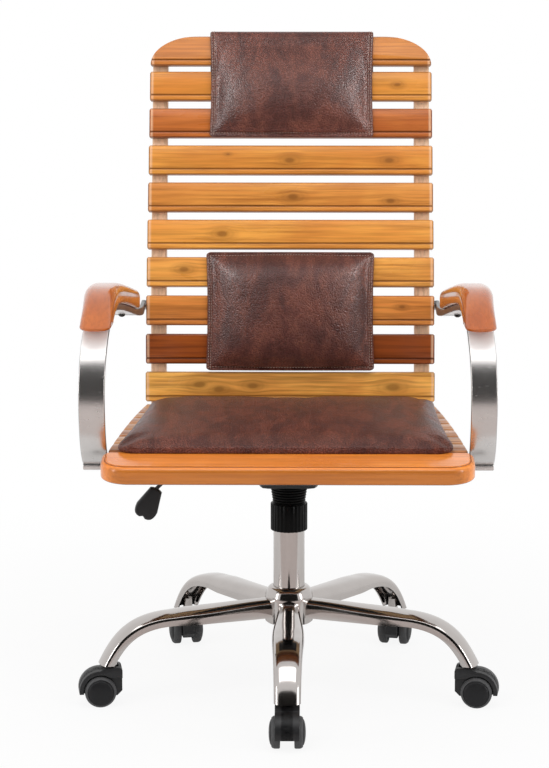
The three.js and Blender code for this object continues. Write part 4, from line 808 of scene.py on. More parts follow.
boss_profile = [
    (SOCKET_R, LEG_TIP_Z), (BOSS_R, LEG_TIP_Z), (BOSS_R, BOSS_TOP),
    (0.0, BOSS_TOP), (0.0, SOCKET_TOP), (SOCKET_R, SOCKET_TOP),
]
leg_verts, leg_faces = joined(leg_mesh(), lathe(boss_profile, 24, Matrix.Translation(X * STEM_R))[:2])
for i in range(5):
    place = Matrix.Translation((0, COLUMN_Y, 0)) @ Matrix.Rotation(math.radians(72 * i - 90), 4, "Z")
    verts = [place @ v for v in leg_verts]
    made = piece(f"pressed_leg_{i + 1}", verts, leg_faces, chrome_base, "base", "chrome")
    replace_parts(sharpen(made, 40), f"leg_{i + 1}")

# Wheels
# Radius and distance from the middle plane, from the cap over the tread to the axle
WHEEL_PROFILE = (
    (0.0, 0.0283), (0.0060, 0.0281), (0.0120, 0.0274), (0.0165, 0.0263), (0.0190, 0.0252),
    (0.0198, 0.0244), (0.0202, 0.0236), (0.0207, 0.0236), (0.0212, 0.0242), (0.0222, 0.0240),
    (0.0234, 0.0229), (0.0243, 0.0214), (0.0249, 0.0197), (0.0250, 0.0182), (0.0250, 0.0128),
    (0.0247, 0.0117), (0.0238, 0.0110), (0.0190, 0.0108), (0.0186, 0.0123), (0.0120, 0.0125),
    (0.0116, 0.0108), (0.0040, 0.0108),
)
CAP_BANDS = 7
joints = {joint["name"]: joint for joint in frame["joints"]}
for i in range(1, 6):
    roll = joints[f"wheel_roll_{i}"]
    full = [*WHEEL_PROFILE, *[(radius, -height) for radius, height in reversed(WHEEL_PROFILE)]]
    verts, faces, owners = lathe(full, 56, pointed(roll["pos_m"], Vector(roll["axis"])))
    last = len(full) - 2
    kinds = [1 if row < CAP_BANDS or row > last - CAP_BANDS else 0 for row in owners]
    made = piece(f"twin_wheels_{i}", verts, faces, [tyre_rubber, cap_plastic], f"wheels_{i}", "tyre", kinds)
    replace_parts(sharpen(outward(made)), f"wheel_set_{i}")

# Caster housings
HOOD_R = 0.0335
HOOD_Z = 0.0255
HOOD_LIP_Z = 0.0213
BLOCK_LOW, BLOCK_TOP = 0.047, 0.0637
BLOCK_AHEAD, BLOCK_BACK = 0.011, 0.0165
BLOCK_CORNER = 0.0055
WHEEL_ROOM_R = 0.0265
TRAIL = 0.0185
HOOD_WIDTH, WEB_WIDTH = 0.038, 0.020
HOUSING_SOFT = 0.0011
WEB_FOOT = ((-BLOCK_BACK, 0.024), (0.008 - BLOCK_BACK, 0.016))


def arc(cx, cz, radius, start, end, steps):
    turns = [mix(start, end, i / steps) for i in range(steps + 1)]
    return [(cx + radius * math.cos(turn), cz + radius * math.sin(turn)) for turn in turns]


def slab(outline, width, soft):
    """A plate with an outline of (ahead, up) points, whose two faces have softened edges."""
    count = len(outline)
    offsets = []
    for i, (x, z) in enumerate(outline):
        before, after = Vector(outline[i - 1]), Vector(outline[(i + 1) % count])
        here = Vector((x, z))
        one, two = (here - before).normalized(), (after - here).normalized()
        lean = (one + two).normalized()
        offsets.append(Vector((-lean.y, lean.x)) / max(0.5, one.dot(lean)))
    sections = []
    for k in range(8):
        turn = math.pi / 2 * (k if k < 4 else 7 - k) / 3
        inset, edge = soft * (1 - math.sin(turn)), soft * (1 - math.cos(turn))
        y = -width / 2 + edge if k < 4 else width / 2 - edge
        moved = zip(outline, offsets)
        sections.append([Vector((x + way.x * inset, y, z + way.y * inset)) for (x, z), way in moved])
    return loft(sections)


def housing_mesh():
    """The hood over the wheels and the block at the stem, with a web between the wheels."""
    lip = math.asin((HOOD_LIP_Z - HOOD_Z) / HOOD_R)
    over = arc(TRAIL, HOOD_Z, HOOD_R, lip, math.pi / 2, 30)
    over.append((BLOCK_AHEAD, BLOCK_TOP))
    over += arc(BLOCK_CORNER - BLOCK_BACK, BLOCK_TOP - BLOCK_CORNER, BLOCK_CORNER, math.pi / 2, math.pi, 8)
    room_lip = math.asin((HOOD_LIP_Z - AXLE_Z) / WHEEL_ROOM_R)
    room_end = math.pi - math.asin((BLOCK_LOW - AXLE_Z) / WHEEL_ROOM_R)
    room = arc(TRAIL, AXLE_Z, WHEEL_ROOM_R, room_end, room_lip, 30)
    hood = slab([*over, (-BLOCK_BACK, BLOCK_LOW), *room], HOOD_WIDTH, HOUSING_SOFT)
    return joined(hood, slab([*over, *WEB_FOOT], WEB_WIDTH, HOUSING_SOFT))


housing_verts, housing_faces = housing_mesh()
for i in range(1, 6):
    stem = Vector(joints[f"caster_swivel_{i}"]["pos_m"])
    axle = Vector(joints[f"wheel_roll_{i}"]["pos_m"])
    turn = math.atan2(axle.y - stem.y, axle.x - stem.x)
    place = Matrix.Translation((stem.x, stem.y, 0)) @ Matrix.Rotation(turn, 4, "Z")
    made = piece(f"caster_hood_{i}", [place @ v for v in housing_verts], housing_faces, black_plastic,
                 f"caster_{i}", "black_plastic")
    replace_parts(sharpen(outward(made), 36), f"caster_housing_{i}")

# Arms
RAIL_OUTER = 0.2313
LOOP_R = 0.119
LOOP_AHEAD = 0.080
LOOP_OUT = 0.299
LOOP_TOP_OUT = 0.2905
BAND_WIDTH = 0.040
BAND_THICK = 0.010
BAND_EDGE = 0.0018
SEAT_RAIL_LOW = 0.378
LOOP_Z = SEAT_RAIL_LOW + 0.016 + LOOP_R
LOOP_TOP = LOOP_Z + LOOP_R
PAD_FALL = 0.038  # from the loop's top to the pad's end
PAD_END = Vector((0.270, COLUMN_Y + 0.130, LOOP_TOP - PAD_FALL))
PAD_WIDTH = 0.052
PAD_THICK = 0.033
PAD_NOSE_DROP = 0.0097
PAD_SOFT = 0.0060
PAD_GAP = 0.0003
ARM_STEPS = 26
TAB_START = Vector((0.2445, COLUMN_Y + 0.2051, LOOP_TOP - 0.048))
TAB_END_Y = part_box("arm_left")[1].y
TAB_WIDTH, TAB_THICK = 0.007, 0.014
TAB_BOLT = Vector((0, TAB_END_Y - 0.008, TAB_START.z))
TAB_BOSS = ((0.0, RAIL_OUTER), (0.0075, RAIL_OUTER), (0.008, 0.2318), (0.008, 0.2440), (0.0, 0.2440))
FOOT_END = LOOP_OUT + BAND_WIDTH / 2
FOOT_AHEAD = 0.028  # how much longer the strip is than the band is wide, to the front
FLANGE_LENGTH, FLANGE_TALL, FLANGE_CORNER = 0.070, 0.030, 0.0085


def loop_point(turn, radius):
    """A point of the left arm's loop, from its top at no turn over its front to its foot at half a turn."""
    out = mix(LOOP_TOP_OUT, LOOP_OUT, math.sin(min(turn, math.pi / 2)) ** 1.4)
    return Vector((out, COLUMN_Y - LOOP_AHEAD - radius * math.sin(turn), LOOP_Z + radius * math.cos(turn)))


crest = loop_point(0, LOOP_R)
arm_hump = crest.lerp(PAD_END, 2 / 3) + Z * (PAD_FALL / 12)
arm_top = (crest, crest + Y * 0.070, arm_hump, PAD_END)
arm_tail = (PAD_END, PAD_END + (PAD_END - arm_hump) / 3, TAB_START - Y * 0.025, TAB_START)


def arm_mesh():
    steps = 72
    foot = loop_point(math.pi, LOOP_R)
    points = [foot + Y * 0.020, foot + Y * 0.010]
    points += [loop_point(math.pi * (1 - i / steps), LOOP_R) for i in range(steps)]
    points += bezier(*arm_top, 20)
    flat = len(points)
    tail = bezier(*arm_tail, 20)[1:]
    points += tail
    points.append(Vector((TAB_START.x, TAB_END_Y, TAB_START.z)))
    sections = []
    for i, (centre, side, up) in enumerate(stations(points)):
        share = smoothstep((i - flat + 1) / len(tail))
        width, thick = mix(BAND_WIDTH, TAB_WIDTH, share), mix(BAND_THICK, TAB_THICK, share)
        outline = rounded_box(width, -thick / 2, thick / 2, BAND_EDGE, BAND_EDGE, 4)
        sections.append(drawn(centre, side, up, outline))
    return loft(sections)


def arm_foot_mesh():
    """The strip from the loop's foot to the rail, and its flange."""
    foot_z = loop_point(math.pi, LOOP_R).z
    centre_y = COLUMN_Y - LOOP_AHEAD
    strip, flange = [], []
    for x, inset in ((0.2338, 0.0), (FOOT_END - 0.0012, 0.0), (FOOT_END, 0.0008)):
        half = BAND_THICK / 2 - inset
        outline = rounded_box(BAND_WIDTH + FOOT_AHEAD - 2 * inset, -half, half, 0.0016, 0.0016, 4)
        strip.append(drawn(Vector((x, centre_y - FOOT_AHEAD / 2, foot_z)), Y, Z, outline))
    for x, inset in ((RAIL_OUTER, 0.0), (0.2354, 0.0), (0.2361, 0.0003), (0.2363, 0.0009)):
        half, corner = FLANGE_TALL / 2 - inset, FLANGE_CORNER - inset
        outline = rounded_box(FLANGE_LENGTH - 2 * inset, -half, half, corner, corner, 8)
        flange.append(drawn(Vector((x, centre_y, foot_z)), Y, Z, outline))
    return joined(loft(strip), loft(flange))


band_verts, band_faces = arm_mesh()
boss = lathe(TAB_BOSS, 28, pointed(TAB_BOLT, X))[:2]
arm_verts, arm_faces = joined((band_verts, band_faces), arm_foot_mesh(), boss)
tab_from = max(v.z for v in band_verts) - 0.050
foot_z = loop_point(math.pi, LOOP_R).z


def arm_kind(n, face):
    """1 for the faces in darker chrome, as painted shade: the band's edges, the tab behind the pad and the
    top of the foot's strip.
    """
    at = sum((arm_verts[k] for k in face), Vector()) / len(face)
    one, two, three = (arm_verts[k] for k in face[:3])
    sideways = abs((two - one).cross(three - one).normalized().x) > 0.75
    foot_top = n >= len(band_faces) and foot_z + 0.0035 < at.z < foot_z + 0.010 and at.x > 0.24
    tab = at.y > PAD_END.y - 0.010 and at.z > tab_from
    return int(sideways or foot_top or tab)


def pad_mesh():
    """The pad on the band, from its nose, which hangs over the loop's front, to its rear end."""
    inner = LOOP_R + BAND_THICK / 2 + PAD_GAP
    outer = inner + PAD_THICK
    nose_up = LOOP_R - PAD_NOSE_DROP
    inner_end, outer_end = math.acos(nose_up / inner), math.acos(nose_up / outer)
    sections = []

    def section(low, high, side, inset=0.0, nose=0.0):
        up = high - low
        width = PAD_WIDTH - 3.2 * inset - 0.0042 * nose
        outline = rounded_box(width, inset, up.length - inset, 0.005, 0.015, 8)
        sections.append(drawn(low - X * 0.0016 * nose, side, up.normalized(), outline))

    for k in range(5):
        turn = math.pi / 2 * k / 4
        inset, drop = PAD_SOFT * (1 - math.sin(turn)), PAD_SOFT * (math.cos(turn) - 0.25)
        low = loop_point(math.acos(min(1, (nose_up - drop) / inner)), inner)
        section(low, loop_point(outer_end, outer) - Z * drop, X, inset, 1.0)
    for i in range(1, ARM_STEPS):
        share = i / ARM_STEPS
        low = loop_point(mix(inner_end, 0, share), inner)
        high = loop_point(mix(outer_end, 0, math.sqrt(share)), outer)
        section(low, high, X, 0.0, 1 - smoothstep(share))
    top = stations(bezier(*arm_top, ARM_STEPS))
    for centre, side, up in top[:-1]:
        section(centre + up * (inner - LOOP_R), centre + up * (outer - LOOP_R), side)
    centre, side, up = top[-1]
    along = side.cross(up)
    for k in range(5):
        turn = math.pi / 2 * k / 4
        low = centre + up * (inner - LOOP_R) + along * PAD_SOFT * (math.sin(turn) - 1)
        section(low, low + up * PAD_THICK, side, PAD_SOFT * (1 - math.cos(turn)))
    return loft(sections)


pad_verts, pad_faces = pad_mesh()
arm_kinds = [arm_kind(n, face) for n, face in enumerate(arm_faces)]
for side, sign in (("left", 1), ("right", -1)):
    place = Matrix.Diagonal((sign, 1, 1, 1))
    verts = [place @ v for v in arm_verts]
    metals = [chrome_arm, chrome_shade]
    made = piece(f"arm_band_{side}", verts, arm_faces, metals, "seat", "chrome", arm_kinds)
    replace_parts(sharpen(outward(made), 40), f"arm_{side}")
    verts = [place @ v for v in pad_verts]
    pad = piece(f"arm_pad_wood_{side}", verts, pad_faces, pad_wood, "seat", "red_wood")
    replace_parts(sharpen(outward(pad), 45), f"arm_pad_{side}")

# Bellows
FOLDS, FOLD_STEPS = 9, 8
FOLD_DEPTH = 0.0026
BOOT_BORE_R = 0.021
BOOT_LOW_R, BOOT_HIGH_R = 0.0258, 0.0315

low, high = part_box("bellows")
profile = [(BOOT_BORE_R, low.z)]
for i in range(FOLDS * FOLD_STEPS + 1):
    share = i / (FOLDS * FOLD_STEPS)
    wave = 0.5 - 0.5 * math.cos(2 * math.pi * share * FOLDS)
    radius = mix(BOOT_LOW_R, BOOT_HIGH_R, share) - FOLD_DEPTH * wave ** 1.6
    profile.append((radius, mix(low.z, high.z, share)))
profile.append((BOOT_BORE_R, high.z))
verts, faces, _ = lathe(profile, 48, Matrix.Translation(Y * COLUMN_Y))
boot = sharpen(outward(thing("bellows_boot", verts, faces, bellows_rubber)), 60)
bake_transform(boot, "rod", "seat", (0, COLUMN_Y, low.z), (0, COLUMN_Y, high.z))
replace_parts(boot, "bellows")

# Cushions
SEWN_ROWS = 3  # rows and columns beside an edge that its seam holds
COVER_CLOTH = {
    "quality": 5, "mass": 0.3, "tension_stiffness": 12, "compression_stiffness": 12, "shear_stiffness": 6,
    "bending_stiffness": 0.4, "use_pressure": True, "vertex_group_mass": "held",
}
COVER_FRAMES = 20
STITCH_PITCH, STITCH_LENGTH, STITCH_THICK = 0.0046, 0.0031, 0.00060
STITCH_FORM = ((-1, 0.15), (-0.72, 0.85), (0, 1.0), (0.72, 0.85), (1, 0.15))  # places along it, thicknesses


def spread(length, dense, step=1.0, gaps=0):
    """Places along a length, at given distances from both ends and with even gaps between those."""
    inner = length - 2 * dense[-1]
    gaps = gaps or max(2, round(inner / step))
    between = [dense[-1] + inner * i / gaps for i in range(1, gaps)]
    return [*dense, *between, *[length - d for d in reversed(dense)]]


class Cushion:
    """A padded form on a carrier: rows run along the carrier and columns across it.

    carrier(s) gives a point and the normal; half(s) is half the width; thick(s, d, x) the thickness at x from
    the middle and d from the nearer side. A cover with held_from is held along its seams and past that place.
    """

    def __init__(self, name, node, carrier, places, half, thick, dense, step, held_from=None):
        self.carrier = carrier
        outer, inner, rim, faces = [], [], [], []
        gaps = len(spread(2 * half(places[0]), dense, step)) - 2 * len(dense) + 1
        for s in places:
            point, normal = carrier(s)
            width = 2 * half(s)
            for d in spread(width, dense, gaps=gaps):
                x = d - width / 2
                outer.append(point + X * x + normal * thick(s, min(d, width - d), x))
                inner.append(point + X * x)
        rows, count = len(places), len(outer)
        columns = count // rows
        border = [*range(columns), *range(2 * columns - 1, count, columns)]
        border += [*range(count - 2, count - columns - 1, -1), *range(count - 2 * columns, 0, -columns)]
        centre = sum(outer, Vector()) / count
        for k in border:
            edge = (outer[k] + inner[k]) / 2
            rim.append(edge + (edge - centre).normalized() * (outer[k] - inner[k]).length * 0.22)
        for r in range(rows - 1):
            for c in range(columns - 1):
                k = r * columns + c
                quad = (k, k + 1, k + columns + 1, k + columns)
                faces.append(quad)
                faces.append(tuple(count + k for k in reversed(quad)))
        for i, k in enumerate(border):
            following = (i + 1) % len(border)
            j = border[following]
            a, b = 2 * count + i, 2 * count + following
            faces.append((k, a, b, j))
            faces.append((a, count + k, count + j, b))
        self.made = outward(piece(name, outer + inner + rim, faces, hide, "seat", "leather"))
        self.pins = list(range(count, 2 * count))
        for k in range(count if held_from is not None else 0):
            row, column = divmod(k, columns)
            edge = min(row, column, rows - 1 - row, columns - 1 - column)
            if edge <= SEWN_ROWS or places[row] > held_from:
                self.pins.append(k)
        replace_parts(self.made, node)

    def puff(self, pressure, cap, shrink):
        """Blows the form up a little as cloth, so that the cover wrinkles and rounds by itself."""
        made = self.made
        rest = [v.co.copy() for v in made.data.vertices]
        held = made.vertex_groups.new(name="held")
        held.add(self.pins, 1.0, "REPLACE")
        cloth = made.modifiers.new("cloth", "CLOTH")
        for key, value in COVER_CLOTH.items():
            setattr(cloth.settings, key, value)
        cloth.settings.shrink_min = shrink
        cloth.settings.uniform_pressure_force = pressure
        cloth.settings.effector_weights.gravity = 0
        cloth.point_cache.frame_start = 1
        cloth.point_cache.frame_end = COVER_FRAMES
        for number in range(1, COVER_FRAMES + 1):
            scene.frame_set(number)
        shown = made.evaluated_get(bpy.context.evaluated_depsgraph_get())
        moved = [v.co.copy() for v in shown.data.vertices]
        made.modifiers.remove(cloth)
        made.vertex_groups.remove(held)
        scene.frame_set(1)
        for vertex, old, new in zip(made.data.vertices, rest, moved):
            step = new - old
            vertex.co = old + step * min(1.0, cap / max(step.length, 1e-9))
        return self

    def finish(self):
        soft = self.made.modifiers.new("smooth", "SUBSURF")
        soft.levels = soft.render_levels = 1
        bpy.context.view_layer.update()
        self.tree = BVHTree.FromObject(self.made, bpy.context.evaluated_depsgraph_get())
        return self

    def on_skin(self, s, x):
        point, normal = self.carrier(s)
        hit, direction, _, _ = self.tree.ray_cast(point + X * x + normal * 0.12, -normal)
        return (hit, direction) if hit else (point + X * x, normal)

    def stitches(self, name, line):
        """Thread stitches along a line of (s, x) places on the cushion's skin."""
        spots = [self.on_skin(s, x) for s, x in line]
        forms = []
        travelled, due = 0.0, 0.0
        for (a, na), (b, nb) in zip(spots, spots[1:]):
            step = b - a
            reach = step.length
            while reach > 0 and due <= travelled + reach:
                share = (due - travelled) / reach
                centre = a.lerp(b, share)
                normal = na.lerp(nb, share).normalized()
                along = (step - normal * step.dot(normal)).normalized()
                side = along.cross(normal)
                rings = []
                for t, grow in STITCH_FORM:
                    core = centre + along * (t * STITCH_LENGTH / 2)
                    core += normal * (STITCH_THICK * (0.55 - 0.75 * abs(t) ** 3))
                    hexagon = arc(0, 0, STITCH_THICK * grow, 0, math.pi * 5 / 3, 5)
                    rings.append(drawn(core, side, normal, hexagon))
                forms.append(loft(rings))
                due += STITCH_PITCH
            travelled += reach
        piece(name, *joined(*forms), sewing_thread, "seat", "leather")


def gathers(x, s, near, size):
    """Small gathers that fade away from a seam, over a broad unevenness."""
    small = noise.noise(Vector((x * 95, s * 70, 3))) * math.exp(-max(0.0, near) / 0.016)
    broad = noise.noise(Vector((x * 22, s * 22, 8)))
    return size * (small + 0.8 * broad * smoothstep(near / 0.02))


def rounding(from_end, radius):
    """How far a rounded corner draws the side in at a distance from the end."""
    if from_end >= radius:
        return 0.0
    return radius - math.sqrt(radius ** 2 - (radius - from_end) ** 2)


def waist(share, depth):
    """How far a side is drawn in at a share of its length, most in the middle."""
    return depth * math.sin(math.pi * clamp(share))


# Seat cushion, from ahead of the column to behind it
SEAT_FROM, SEAT_TO = -0.186, 0.172
SEAT_LENGTH = SEAT_TO - SEAT_FROM
SEAT_EDGE = [0.0, 0.002, 0.005, 0.009, 0.014, 0.021]
SEAT_GAP = 0.0007  # between a cushion and the wood


def seat_carrier(s):
    point, normal = seat_at(s)
    aside = mix(-0.0042, 0.0047, (s - SEAT_FROM) / SEAT_LENGTH)
    return point + normal * SEAT_GAP + X * aside, normal


def seat_half(s):
    share = (s - SEAT_FROM) / SEAT_LENGTH
    from_end = max(0.0, min(s - SEAT_FROM, SEAT_TO - s))
    return mix(0.2608, 0.2315, share) - rounding(from_end, 0.030) - waist(share, 0.004)


def seat_thick(s, d, x):
    from_end = min(s - SEAT_FROM, SEAT_TO - s)
    near = min(d, from_end)
    across = 1 - d / seat_half(s)
    along = 1 - 2 * from_end / SEAT_LENGTH
    rise = math.sqrt(max(0.0, (1 - abs(across) ** 7) * (1 - abs(along) ** 6)))
    lumps = gathers(x, s, near, 0.0028 if s < SEAT_FROM + 0.05 else 0.0012) * smoothstep(near / 0.008)
    return 0.0085 + 0.0125 * rise + lumps


seat_rows = [SEAT_FROM + d for d in spread(SEAT_LENGTH, SEAT_EDGE, 0.0075)]
seat = Cushion("seat_cushion_leather", "seat_cushion", seat_carrier, seat_rows, seat_half, seat_thick,
               SEAT_EDGE, 0.0085)
seat.puff(3.0, 0.0030, -0.015).finish()

# Lumbar cushion on the slats' faces
LUMBAR_MID, LUMBAR_TALL, LUMBAR_HALF = 0.150, 0.191, 0.1385
LUMBAR_LOW, LUMBAR_HIGH = LUMBAR_MID - LUMBAR_TALL / 2, LUMBAR_MID + LUMBAR_TALL / 2
SEAM = 0.0062
SEWN_EDGE = [0.0, 0.0022, 0.0045, 0.0062, 0.0080, 0.0105, 0.0145, 0.020]
SEWN_STEP = 0.0065
FACE_GAP = 0.0012


def face_carrier(s):
    point, _, normal = back_at(s)
    return point + normal * (SLAT_FACE + FACE_GAP), normal


def pillow(s, d, x, from_end, width, tall, rise, flange, pinch, gather):
    """Thickness of a stuffed cover inside a flat seam: full shoulders, and a crown that never goes flat."""
    edge = min(d, from_end)
    if edge < SEAM:
        return mix(flange, pinch, smoothstep(edge / SEAM))
    across = 1 - 2 * (d - SEAM) / (width - 2 * SEAM)
    along = 1 - 2 * (from_end - SEAM) / (tall - 2 * SEAM)
    crown = rise * max(0.0, (1 - abs(across) ** 2.6) * (1 - abs(along) ** 5)) ** 0.6
    return pinch + crown + gathers(x, s, edge - SEAM, gather) * smoothstep((edge - SEAM) / 0.004)


def lumbar_end(s):
    return max(0.0, min(s - LUMBAR_LOW, LUMBAR_HIGH - s))


def lumbar_half(s):
    return LUMBAR_HALF - waist((s - LUMBAR_LOW) / LUMBAR_TALL, 0.0025) - rounding(lumbar_end(s), 0.006)


def lumbar_thick(s, d, x):
    return pillow(s, d, x, lumbar_end(s), 2 * LUMBAR_HALF, LUMBAR_TALL, 0.034, 0.0058, 0.0046, 0.0007)


lumbar_rows = [LUMBAR_LOW + d for d in spread(LUMBAR_TALL, SEWN_EDGE, SEWN_STEP)]
lumbar = Cushion("lumbar_cushion_leather", "lumbar_cushion", face_carrier, lumbar_rows, lumbar_half,
                 lumbar_thick, SEWN_EDGE, SEWN_STEP, LUMBAR_HIGH)
lumbar.puff(5.0, 0.0035, 0.01).finish()

# Headrest cushion, which folds over the top slat and hangs down behind it
HEAD_HALF, HEAD_TALL, FLAP = 0.1358, 0.172, 0.062
HEAD_LOW = BACK_TOP - HEAD_TALL
HEAD_ASIDE = 0.0015
FOLD_R = 0.0125
FOLD = math.pi * FOLD_R
FOLD_HALF, FOLD_CROWN = 0.0082, 0.0030  # of the fold's inner face: half its depth, and its height
HEAD_END = BACK_TOP + FOLD + FLAP


def head_carrier(s):
    if s <= BACK_TOP:
        point, normal = face_carrier(s)
        return point + X * HEAD_ASIDE, normal
    point, up, normal = back_at(BACK_TOP)
    core = point + normal * (SLAT_FACE + FACE_GAP - FOLD_HALF) + up * FACE_GAP + X * HEAD_ASIDE
    if s < BACK_TOP + FOLD:
        turn = (s - BACK_TOP) / FOLD_R
        away = normal * math.cos(turn) + up * math.sin(turn)
        return core + normal * FOLD_HALF * math.cos(turn) + up * FOLD_CROWN * math.sin(turn), away
    return core - normal * FOLD_HALF - up * (s - BACK_TOP - FOLD), -normal


def head_half(s):
    return HEAD_HALF - waist((s - HEAD_LOW) / HEAD_TALL, 0.0022) - rounding(max(0.0, s - HEAD_LOW), 0.004)


def head_thick(s, d, x):
    puffed = pillow(s, d, x, s - HEAD_LOW, 2 * HEAD_HALF, 1.55 * HEAD_TALL, 0.031, 0.0052, 0.0042, 0.0006)
    lid = math.sin(math.pi / 2 * clamp((BACK_TOP + 0.010 - s) / 0.120))
    return mix(0.0050 if d > 0.002 else 0.0040, puffed, lid)


head_rows = [HEAD_LOW + d for d in SEWN_EDGE]
head_rows += [mix(head_rows[-1], BACK_TOP, i / 22) for i in range(1, 23)]
head_rows += [BACK_TOP + FOLD * i / 8 for i in range(1, 9)]
head_rows += [BACK_TOP + FOLD + FLAP * i / 9 for i in range(1, 10)]
head = Cushion("headrest_cushion_leather", "headrest_cushion", head_carrier, head_rows, head_half, head_thick,
               SEWN_EDGE, SEWN_STEP, BACK_TOP - 0.004)
head.puff(5.0, 0.0035, 0.01).finish()


def side_line(low, high, half, inset, sign, step=0.003):
    count = max(2, round((high - low) / step))
    places = [mix(low, high, i / count) for i in range(count + 1)]
    return [(s, sign * (half(s) - inset)) for s in places]


def end_line(s, half, inset, step=0.003):
    reach = half(s) - inset
    count = round(2 * reach / step)
    return [(s, mix(-reach, reach, i / count)) for i in range(count + 1)]


for sign, side in ((1, "left"), (-1, "right")):
    for n, inset in enumerate((0.0024, SEAM), start=1):
        lumbar.stitches(f"lumbar_stitches_{side}_{n}",
                        side_line(LUMBAR_LOW + 0.004, LUMBAR_HIGH - 0.004, lumbar_half, inset, sign))
        head.stitches(f"headrest_stitches_{side}_{n}",
                      side_line(HEAD_LOW + 0.004, HEAD_END - 0.006, head_half, inset, sign))
lumbar.stitches("lumbar_stitches_low", end_line(LUMBAR_LOW + 0.0058, lumbar_half, SEAM))
lumbar.stitches("lumbar_stitches_high", end_line(LUMBAR_HIGH - 0.0058, lumbar_half, SEAM))
head.stitches("headrest_stitches_low", end_line(HEAD_LOW + 0.0058, head_half, SEAM))
head.stitches("headrest_stitches_flap", end_line(HEAD_END - 0.006, head_half, 0.0095))

# Screws and bolts
SCREW_OUT = 0.2185  # from the chair's middle, at the rails' middles
BACK_RAIL_DEPTH = 0.030
PLATE_LOW, PLATE_AHEAD = 0.3747, 0.010
PLATE_BOLTS = 0.078, 0.080


def bolt_mesh(place, normal, radius, tall):
    """A domed head with a round socket, standing on a place along a normal."""
    profile = [(0.0, -0.0002), (radius, -0.0002), (radius, tall * 0.35)]
    profile += [(radius * math.cos(a), tall * (0.35 + 0.65 * math.sin(a))) for a in (0.35, 0.75, 1.1)]
    profile += [(radius * 0.42, tall), (radius * 0.36, tall * 0.4), (0.0, tall * 0.35)]
    return lathe(profile, 20, pointed(place, normal))[:2]


def bolts(name, spots):
    verts, faces = joined(*(bolt_mesh(*spot) for spot in spots))
    sharpen(outward(piece(name, verts, faces, dark_bolt, "seat", "black_steel")))


rail_spots, arm_spots, plate_spots = [], [], []
pad_middle, _, pad_up = stations(bezier(*arm_top, ARM_STEPS))[ARM_STEPS - 2]
pad_bolt = pad_middle - pad_up * BAND_THICK / 2
for sign in (-1, 1):
    for i in range(1, BACK_SLATS + 1):
        point, _, normal = back_at(slat_middle(i) - (0.014 if i == BACK_SLATS else 0))
        rail_spots.append((point - normal * BACK_RAIL_DEPTH + X * sign * SCREW_OUT, -normal, 0.0042, 0.0022))
    for i in range(8):
        point, normal = seat_at(SEAT_SLAT_FROM + SEAT_SLAT_PITCH * i)
        rail_spots.append((Vector((sign * SCREW_OUT, point.y, SEAT_RAIL_LOW)), -Z, 0.0042, 0.0020))
    arm_spots.append((Vector((sign * pad_bolt.x, pad_bolt.y, pad_bolt.z)), -pad_up, 0.0055, 0.0045))
    arm_spots.append((TAB_BOLT + X * sign * TAB_BOSS[-1][1], X * sign, 0.0060, 0.0045))
    for end in (-1, 1):
        place = Vector((sign * PLATE_BOLTS[0], COLUMN_Y - PLATE_AHEAD + end * PLATE_BOLTS[1], PLATE_LOW))
        plate_spots.append((place, -Z, 0.0065, 0.0042))
bolts("arm_bolts", arm_spots)
bolts("rail_screws", rail_spots)
bolts("plate_bolts", plate_spots)

# Floor, world and lamps
g = Graph("floor")
g.finish((0.86, 0.86, 0.86), 0.9)
from_middle = g.vector("LENGTH", g.vector("MULTIPLY", g.coords, (1, 1, 0)))
seen, mirrored = g.ray_kinds()
glow = g.node("Emission")
g.feed(glow.inputs["Color"], (1, 1, 1))
white = g.times(seen, g.fade(from_middle, 0.35, 1.4, 0.90, 1))
pale = g.times(mirrored, g.fade(from_middle, 0.3, 1.4, 0.35, 0.9))
both = g.node("MixShader")
g.feed(both.inputs[0], g.larger(white, pale))
g.tree.links.new(g.shader.outputs[0], both.inputs[1])
g.tree.links.new(glow.outputs[0], both.inputs[2])
g.tree.links.new(both.outputs[0], g.tree.nodes["Material Output"].inputs["Surface"])
thing("floor", [(-40, -40, 0), (40, -40, 0), (40, 40, 0), (-40, 40, 0)], [(0, 1, 2, 3)], g.material)

world = bpy.data.worlds.new("studio")
scene.world = world
world.use_nodes = True
sky = Nodes(world.node_tree)
lit = sky.blend(sky.larger(*sky.ray_kinds()), (0.34, 0.34, 0.34), (1, 1, 1))
sky.feed(sky.tree.nodes["Background"].inputs["Color"], lit)

DARK_CARD = (0.05, 0.048, 0.046)
PALE_CARD = (0.79, 0.72, 0.70)
CARD_HALF = 7
CARD_Z = 0.003


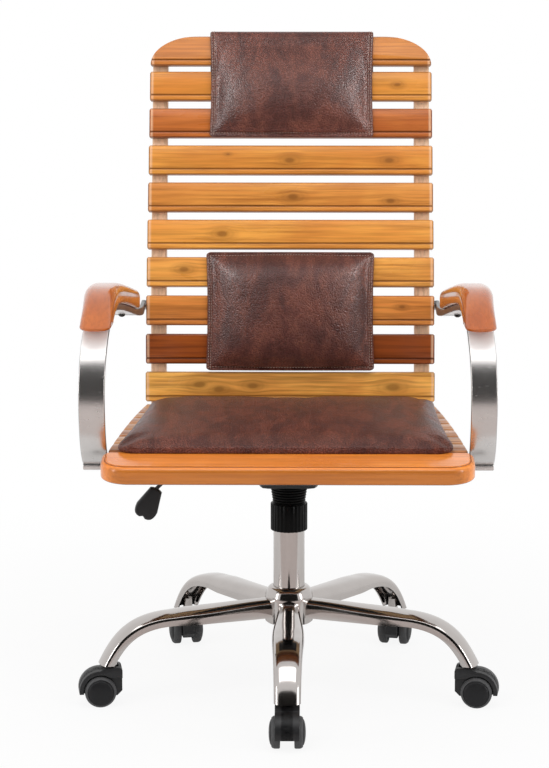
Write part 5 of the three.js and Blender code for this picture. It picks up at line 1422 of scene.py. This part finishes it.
def flag(name, start, end, tone):
    """A card between two (y, z) places. Only mirrors see it, and it gives the chrome its dark zones."""
    g = Graph(name)
    g.finish(g.blend(g.noise(g.coords, 1.5), tone, dim(tone, 0.8)), 1.0, Specular_IOR_Level=0.0)
    corners = [(-CARD_HALF, *start), (CARD_HALF, *start), (CARD_HALF, *end), (-CARD_HALF, *end)]
    made = thing(name, corners, [(0, 1, 2, 3)], g.material)
    made.visible_camera = made.visible_diffuse = made.visible_transmission = False
    made.visible_shadow = made.visible_volume_scatter = False


flag("flag_floor", (-7, CARD_Z), (-2.3, CARD_Z), DARK_CARD)
flag("flag_near", (-2.3, CARD_Z), (-0.42, CARD_Z), PALE_CARD)
flag("flag_wall", (-7, CARD_Z), (-7, 7.0), DARK_CARD)


def lamp(name, place, target, power, size, size_y):
    light = bpy.data.lights.new(name, "AREA")
    light.energy = power
    light.shape = "RECTANGLE"
    light.size, light.size_y = size, size_y
    made = bpy.data.objects.new(name, light)
    scene.collection.objects.link(made)
    made.location = place
    made.rotation_euler = (Vector(target) - Vector(place)).to_track_quat("-Z", "Y").to_euler()
    return made


for soft_lamp in (
    lamp("key", (-1.9, -2.5, 2.55), (0, 0, 0.6), 29, 2.0, 2.0),
    lamp("fill", (2.1, -2.6, 2.4), (0, 0, 0.6), 28, 2.0, 2.0),
    lamp("top", (0, 0.9, 3.6), (0, 0, 0.5), 24, 2.4, 1.6),
):
    soft_lamp.visible_glossy = False
lamp("overhead", (0, -1.45, 3.1), (0, -0.2, 0.5), 31, 3.2, 1.4)
sheen_on = bpy.data.collections.new("sheen_on")
for cushion in (lumbar, head):
    sheen_on.objects.link(cushion.made)
for side, sign in (("left", 1), ("right", -1)):
    lamp(f"strip_{side}", (sign * 2.5, -1.35, 0.95), (0, 0, 0.75), 15, 0.30, 1.6)
    sheen = lamp(f"sheen_{side}", (sign * 2.6, -1.9, 2.7), (0, 0, 0.75), 180, 1.5, 1.5)
    sheen.visible_diffuse = False
    sheen.light_linking.receiver_collection = sheen_on

scene.view_settings.view_transform = "Standard"
